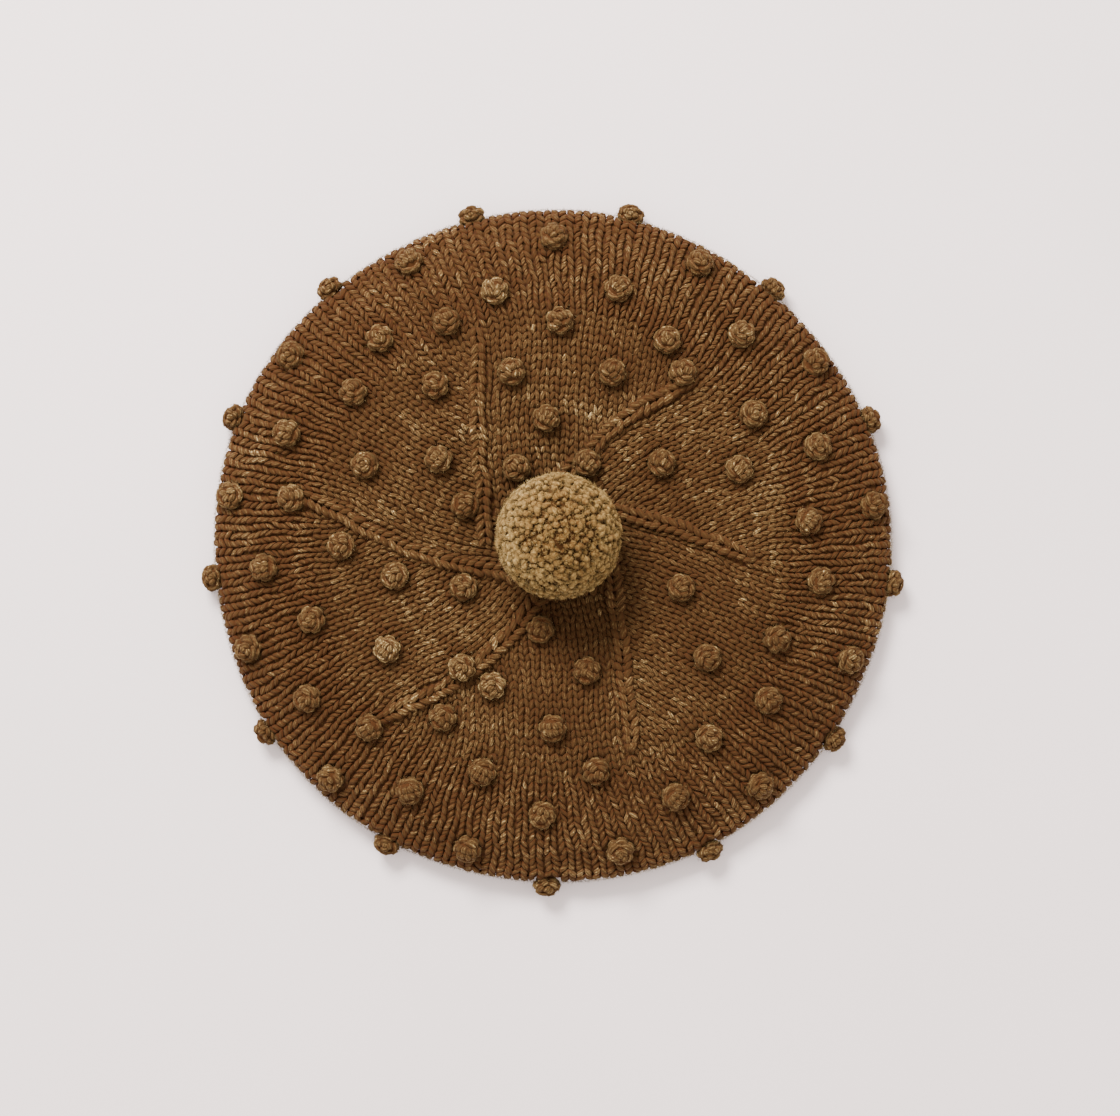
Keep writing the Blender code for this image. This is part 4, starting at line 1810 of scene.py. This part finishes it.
@dataclass
class RibBand:
    """The ribbed band, lying flat inside the underside."""

    yarn: bpy.types.Material
    wall: bpy.types.Material
    legs: tuple[Shape, Shape]
    outer_radius: float = 0.0857
    depth: float = 0.0230
    thickness: float = 0.0034
    ribs: int = 24
    relief: float = 0.0007
    rows: int = 8
    stitch_share: float = 0.27
    stitch_sink: float = 0.0011
    ring_skin: float = 0.0013
    ring_cuts: int = 7
    outer_gap: float = 0.0002
    inner_gap: float = 0.0003
    seed: int = 31

    def stitches(self, facing: float) -> Iterator[tuple[Vector, Vector, Vector, int]]:
        """Places of the ribs' knit stitches on one face.

        Args:
            facing: 1 for the upper face, -1 for the lower.

        Yields:
            Width across, height up, place and row of each stitch.
        """
        columns = self.ribs * 2
        height = self.depth / self.rows
        for row in range(self.rows):
            radius = self.outer_radius - height * (row + 0.5)
            for number in range(columns):
                rib, part = divmod(number, 2)
                around = 2 * math.pi * (rib + (part - 0.5) * self.stitch_share) / self.ribs
                out = Vector((math.cos(around), math.sin(around), 0.0))
                across = Vector((0.0, 0.0, facing)).cross(-out)
                width = 2 * math.pi * radius / self.ribs * self.stitch_share
                level = self.thickness / 2 + facing * (self.thickness / 2 - self.stitch_sink)
                place = out * radius + Vector((0.0, 0.0, level))
                yield -across * width, -out * height, place, row

    def build(self) -> None:
        """Knit the ribs on both faces, over a fluted ring."""
        rng = np.random.default_rng(self.seed)
        knitting = Knitting("rib_stitches")
        for facing in (-1.0, 1.0):
            side, rise, places, rows = (np.array(part) for part in zip(*self.stitches(facing)))
            axes = stitch_axes(side, rise)
            dye = dye_shades(places, rows)
            for leg in self.legs:
                tone = np.clip(rng.normal(0.45, 0.2, len(places)), 0, 1)
                loose = axes * (1 + rng.normal(0.0, 0.04, (len(axes), 1, 4)))
                knitting.stamp(leg, loose, places, tone, dye)
        dress(knitting.join(), self.yarn, "rib_band")
        self.build_ring()

    def build_ring(self, steps: int = 192) -> None:
        """Turn the ring behind the ribs, sunk between them."""
        ring = blank_shape()
        outer = self.outer_radius - self.outer_gap
        inner = self.outer_radius - self.depth
        low, high = self.ring_skin, self.thickness - self.ring_skin
        soft = (high - low) / 3
        outline = ((inner + soft, high), (outer, high), (outer, low), (inner + soft, low),
                   (inner + self.inner_gap, low + soft), (inner + self.inner_gap, high - soft))
        verts = [ring.verts.new((radius, 0.0, height)) for radius, height in outline]
        edges = [ring.edges.new(pair) for pair in zip(verts, verts[1:] + verts[:1])]
        bmesh.ops.subdivide_edges(ring, edges=[edges[0], edges[2]], cuts=self.ring_cuts)
        spin_outline(ring, steps)
        middle = self.thickness / 2
        for vert in ring.verts:
            turn = math.atan2(vert.co.y, vert.co.x)
            sink = self.relief * (0.5 - 0.5 * math.cos(turn * self.ribs))
            vert.co.z -= sink * (vert.co.z - middle) / middle
        dress(turned_object("rib_ring", ring), self.wall, "rib_band")


@dataclass
class Pompom:
    """The trimmed ball of yarn ends."""

    yarn: bpy.types.Material
    diameter: float = 0.0492
    press: float = 0.0035
    offset_x: float = 0.0025
    offset_y: float = 0.0041
    base: float = 0.0164
    tufts: int = 1350
    tuft_width: float = 0.0031
    tuft_length: float = 0.0044
    tip: float = 0.0011
    stalk: float = 0.62
    shade_depth: float = 0.0013
    base_gap: float = 0.0012
    core_gap: float = 0.0024
    seed: int = 77

    def centre(self) -> np.ndarray:
        """Middle of the ball."""
        return np.array([self.offset_x, self.offset_y, self.base + self.diameter / 2 - self.press])

    def tuft(self, lobes: float) -> Shape:
        """One cut yarn end along Z: a narrow stalk that frays into a rough dome.

        Args:
            lobes: Phase of the dome's uneven outline.

        Returns:
            The tuft, with its tip at a height of zero.
        """
        shape = blank_shape()
        bmesh.ops.create_uvsphere(shape, u_segments=6, v_segments=5, radius=1.0)
        depth = []
        for vert in shape.verts:
            turn = math.atan2(vert.co.y, vert.co.x)
            rough = 1 + 0.16 * math.sin(turn * 2 + lobes) + 0.10 * math.sin(turn * 3 + lobes * 2.3)
            stalk = 1.0 if vert.co.z > -0.2 else self.stalk
            width = self.tuft_width / 2 * rough * stalk
            height = vert.co.z * (self.tip if vert.co.z > 0 else self.tuft_length)
            vert.co = (vert.co.x * width, vert.co.y * width, height - self.tip)
            # Painted shade: each tuft darkens towards its stalk, down among the other tufts.
            depth.append(min(max(1 + vert.co.z / self.shade_depth, 0.0), 1.0))
        map_corners(shape, lambda spot: (spot.z * 400, math.atan2(spot.y, spot.x) / (2 * math.pi)))
        return Shape.from_bmesh(shape, depth)

    def build(self) -> None:
        """Set the tufts round the core."""
        rng = np.random.default_rng(self.seed)
        number = np.arange(self.tufts)
        height = 1 - (2 * number + 1) / self.tufts
        around = number * math.pi * (3 - math.sqrt(5))
        ring = np.sqrt(1 - height * height)
        out = np.stack([ring * np.cos(around), ring * np.sin(around), height], axis=1)
        out += rng.normal(0.0, 0.030, out.shape)
        out /= np.linalg.norm(out, axis=1)[:, None]
        reach = self.diameter / 2 + rng.normal(-0.0004, 0.00055, self.tufts)
        places = self.centre() + out * reach[:, None]
        keep = places[:, 2] > self.base + self.base_gap
        out, places = out[keep], places[keep]
        side = np.cross(out, np.array([0.3, 0.2, 0.93]))
        side /= np.linalg.norm(side, axis=1)[:, None]
        other = np.cross(out, side)
        turn = rng.uniform(0, 2 * math.pi, len(out))[:, None]
        first = side * np.cos(turn) + other * np.sin(turn)
        second = np.cross(out, first)
        size = np.clip(rng.normal(1.0, 0.20, (len(out), 1)), 0.55, 1.5)
        size *= 1.02 - 0.14 * smooth_step(0.70, 0.95, out[:, 2:])
        wide = rng.uniform(0.88, 1.25, (len(out), 1))
        axes = np.stack([first * size * wide, second * size / wide, out], axis=2)
        tone = np.clip(rng.normal(0.5, 0.2, len(out)), 0, 1)
        # Painted shade: yarn ends that face straight up are darkened, as the shade among cut ends seen
        # end-on.
        dye = dye_shades(places, np.zeros(len(out))) - 0.04 - 0.45 * smooth_step(0.55, 0.95, out[:, 2])
        knitting = Knitting("pompom_yarn_ends")
        for which in range(4):
            own = np.arange(len(out)) % 4 == which
            knitting.stamp(self.tuft(which * 1.7), axes[own], places[own], tone[own], dye[own])
        dress(knitting.join(), self.yarn, "pompom")
        self.build_core()

    def build_core(self) -> None:
        """The middle that shows between the tufts, pressed flat at its base, painted dark as the shade
        deep among them.
        """
        core = blank_shape()
        bmesh.ops.create_icosphere(core, subdivisions=4, radius=self.diameter / 2 - self.core_gap,
                                   matrix=Matrix.Translation(Vector(self.centre())))
        geometry = core.verts[:] + core.edges[:] + core.faces[:]
        cut = bmesh.ops.bisect_plane(core, geom=geometry, dist=MERGE_DISTANCE,
                                     plane_co=(0, 0, self.base + 0.0002), plane_no=(0, 0, -1),
                                     clear_outer=True)
        rim = [part for part in cut["geom_cut"] if isinstance(part, bmesh.types.BMEdge)]
        if rim:
            bmesh.ops.edgeloop_fill(core, edges=rim)
        for face in core.faces:
            face.smooth = True
        map_corners(core, lambda spot: (spot.z * 300, 0.0))
        bmesh.ops.recalc_face_normals(core, faces=core.faces)
        piece = object_from_bmesh("pompom_core", core)
        points = len(piece.data.vertices)
        # Painted shade: a low tone, value and depth make the core dark.
        for name, given in (("tone", 0.1), ("dye", 0.3), ("depth", 0.10)):
            shade = piece.data.attributes.new(name, "FLOAT", "POINT")
            shade.data.foreach_set("value", np.full(points, given, dtype=np.float32))
        dress(piece, self.yarn, "pompom")


@dataclass
class Studio:
    """Pale floor, soft light from the upper left and a camera straight above."""

    finish: StageFinish
    view_x: float = 0.0031
    view_y: float = -0.0045
    view_width: float = 0.448
    view_level: float = 0.012
    lens: float = 85.0
    sensor: float = 36.0
    lamp_place: tuple[float, float, float] = (-0.50, 1.05, 1.15)
    lamp_aim: tuple[float, float, float] = (0.50, -1.05, -1.12)
    lamp_size: tuple[float, float] = (0.7, 0.5)
    lamp_power: float = 66.0
    sky_colour: tuple[float, float, float, float] = (1.0, 0.975, 0.96, 1.0)
    sky_strength: float = 1.50

    def build_floor(self) -> None:
        """Lay the floor."""
        grid = bmesh.new()
        bmesh.ops.create_grid(grid, x_segments=4, y_segments=4, size=3.0)
        floor = object_from_bmesh("floor", grid)
        floor.data.materials.append(self.finish.material())
        floor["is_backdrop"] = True

    def build_light(self) -> None:
        """Hang one broad lamp at the upper left, with a soft sky all round."""
        lamp = bpy.data.lights.new("window", "AREA")
        lamp.shape = "RECTANGLE"
        lamp.size, lamp.size_y = self.lamp_size
        lamp.energy = self.lamp_power
        holder = bpy.data.objects.new("window", lamp)
        holder.location = self.lamp_place
        holder.rotation_mode = "QUATERNION"
        holder.rotation_quaternion = Vector(self.lamp_aim).to_track_quat("-Z", "Y")
        bpy.context.scene.collection.objects.link(holder)
        world = bpy.data.worlds.new("sky")
        world.use_nodes = True
        sky = world.node_tree.nodes["Background"]
        sky.inputs["Color"].default_value = self.sky_colour
        sky.inputs["Strength"].default_value = self.sky_strength
        bpy.context.scene.world = world

    def build_camera(self) -> None:
        """Set the camera straight above, with the photograph's framing."""
        data = bpy.data.cameras.new("camera")
        data.lens = self.lens
        data.sensor_width = self.sensor
        camera = bpy.data.objects.new("camera", data)
        away = self.view_width * self.lens / self.sensor
        camera.location = (self.view_x, self.view_y, self.view_level + away)
        bpy.context.scene.collection.objects.link(camera)
        bpy.context.scene.camera = camera


def write_sizes() -> None:
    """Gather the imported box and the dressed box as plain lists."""
    boxes = {"cad": CAD_BOX, "visual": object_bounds()}
    plain = {name: [list(corner) for corner in box] for name, box in boxes.items()}


def main() -> None:
    """Build and dress every piece."""
    logging.basicConfig(level=logging.INFO, format="%(message)s")
    form = CrownForm()
    knit = KnitCrown(form)
    crown_yarn = YarnFinish("brown hand-dyed wool").material()
    inside = InsideFinish("inside of the knitting").material()
    legs = tuple(YarnLeg(side).shape() for side in Side)
    under_legs = tuple(YarnLeg(side, sides=4, rings=4, height=0.0008).shape() for side in Side)
    rim_legs = tuple(CordLeg(side).shape() for side in Side)
    edge_legs = tuple(CordLeg(side, half_width=0.230, length=1.10, height=0.0008,
                              arch=0.0005).shape() for side in Side)
    line_legs = tuple(YarnLeg(side, foot=0.055, lean=0.36, length=1.42, shear=-0.14, yarn=0.00116,
                              height=0.0014, lift=0.0005, blunt=3.2).shape() for side in Side)
    bobbles = Bobbles(form, crown_yarn)
    seats = np.array([root for root, _ in bobbles.seats()])
    crown = Crown(form, knit, crown_yarn, inside, seats, legs, rim_legs, edge_legs, line_legs,
                  under_legs)
    for index in range(len(SECTIONS)):
        crown.build_section(index)
    crown.build_edge()
    crown.build_middle()
    crown.build_wall()
    bobbles.build()
    fuzz = Fuzz(form)
    fuzz.build_crown(crown_yarn, bobbles.seats())
    RibBand(crown_yarn, inside, under_legs).build()
    # gap is the colour of the painted shade between the pompom's yarn ends.
    pompom_yarn = YarnFinish("khaki wool ends", gap="341a08", deep="4c2e12", dark="674a25",
                             middle="866a3c", light="a68a56", pale="e2c896", plies=2,
                             fuzz_scale=2000.0).material()
    pompom = Pompom(pompom_yarn)
    pompom.build()
    fuzz.build_pompom(pompom_yarn, pompom.centre(), pompom.diameter / 2)
    studio = Studio(StageFinish())
    studio.build_floor()
    studio.build_light()
    studio.build_camera()
    write_sizes()


if __name__ == "__main__":
    main()
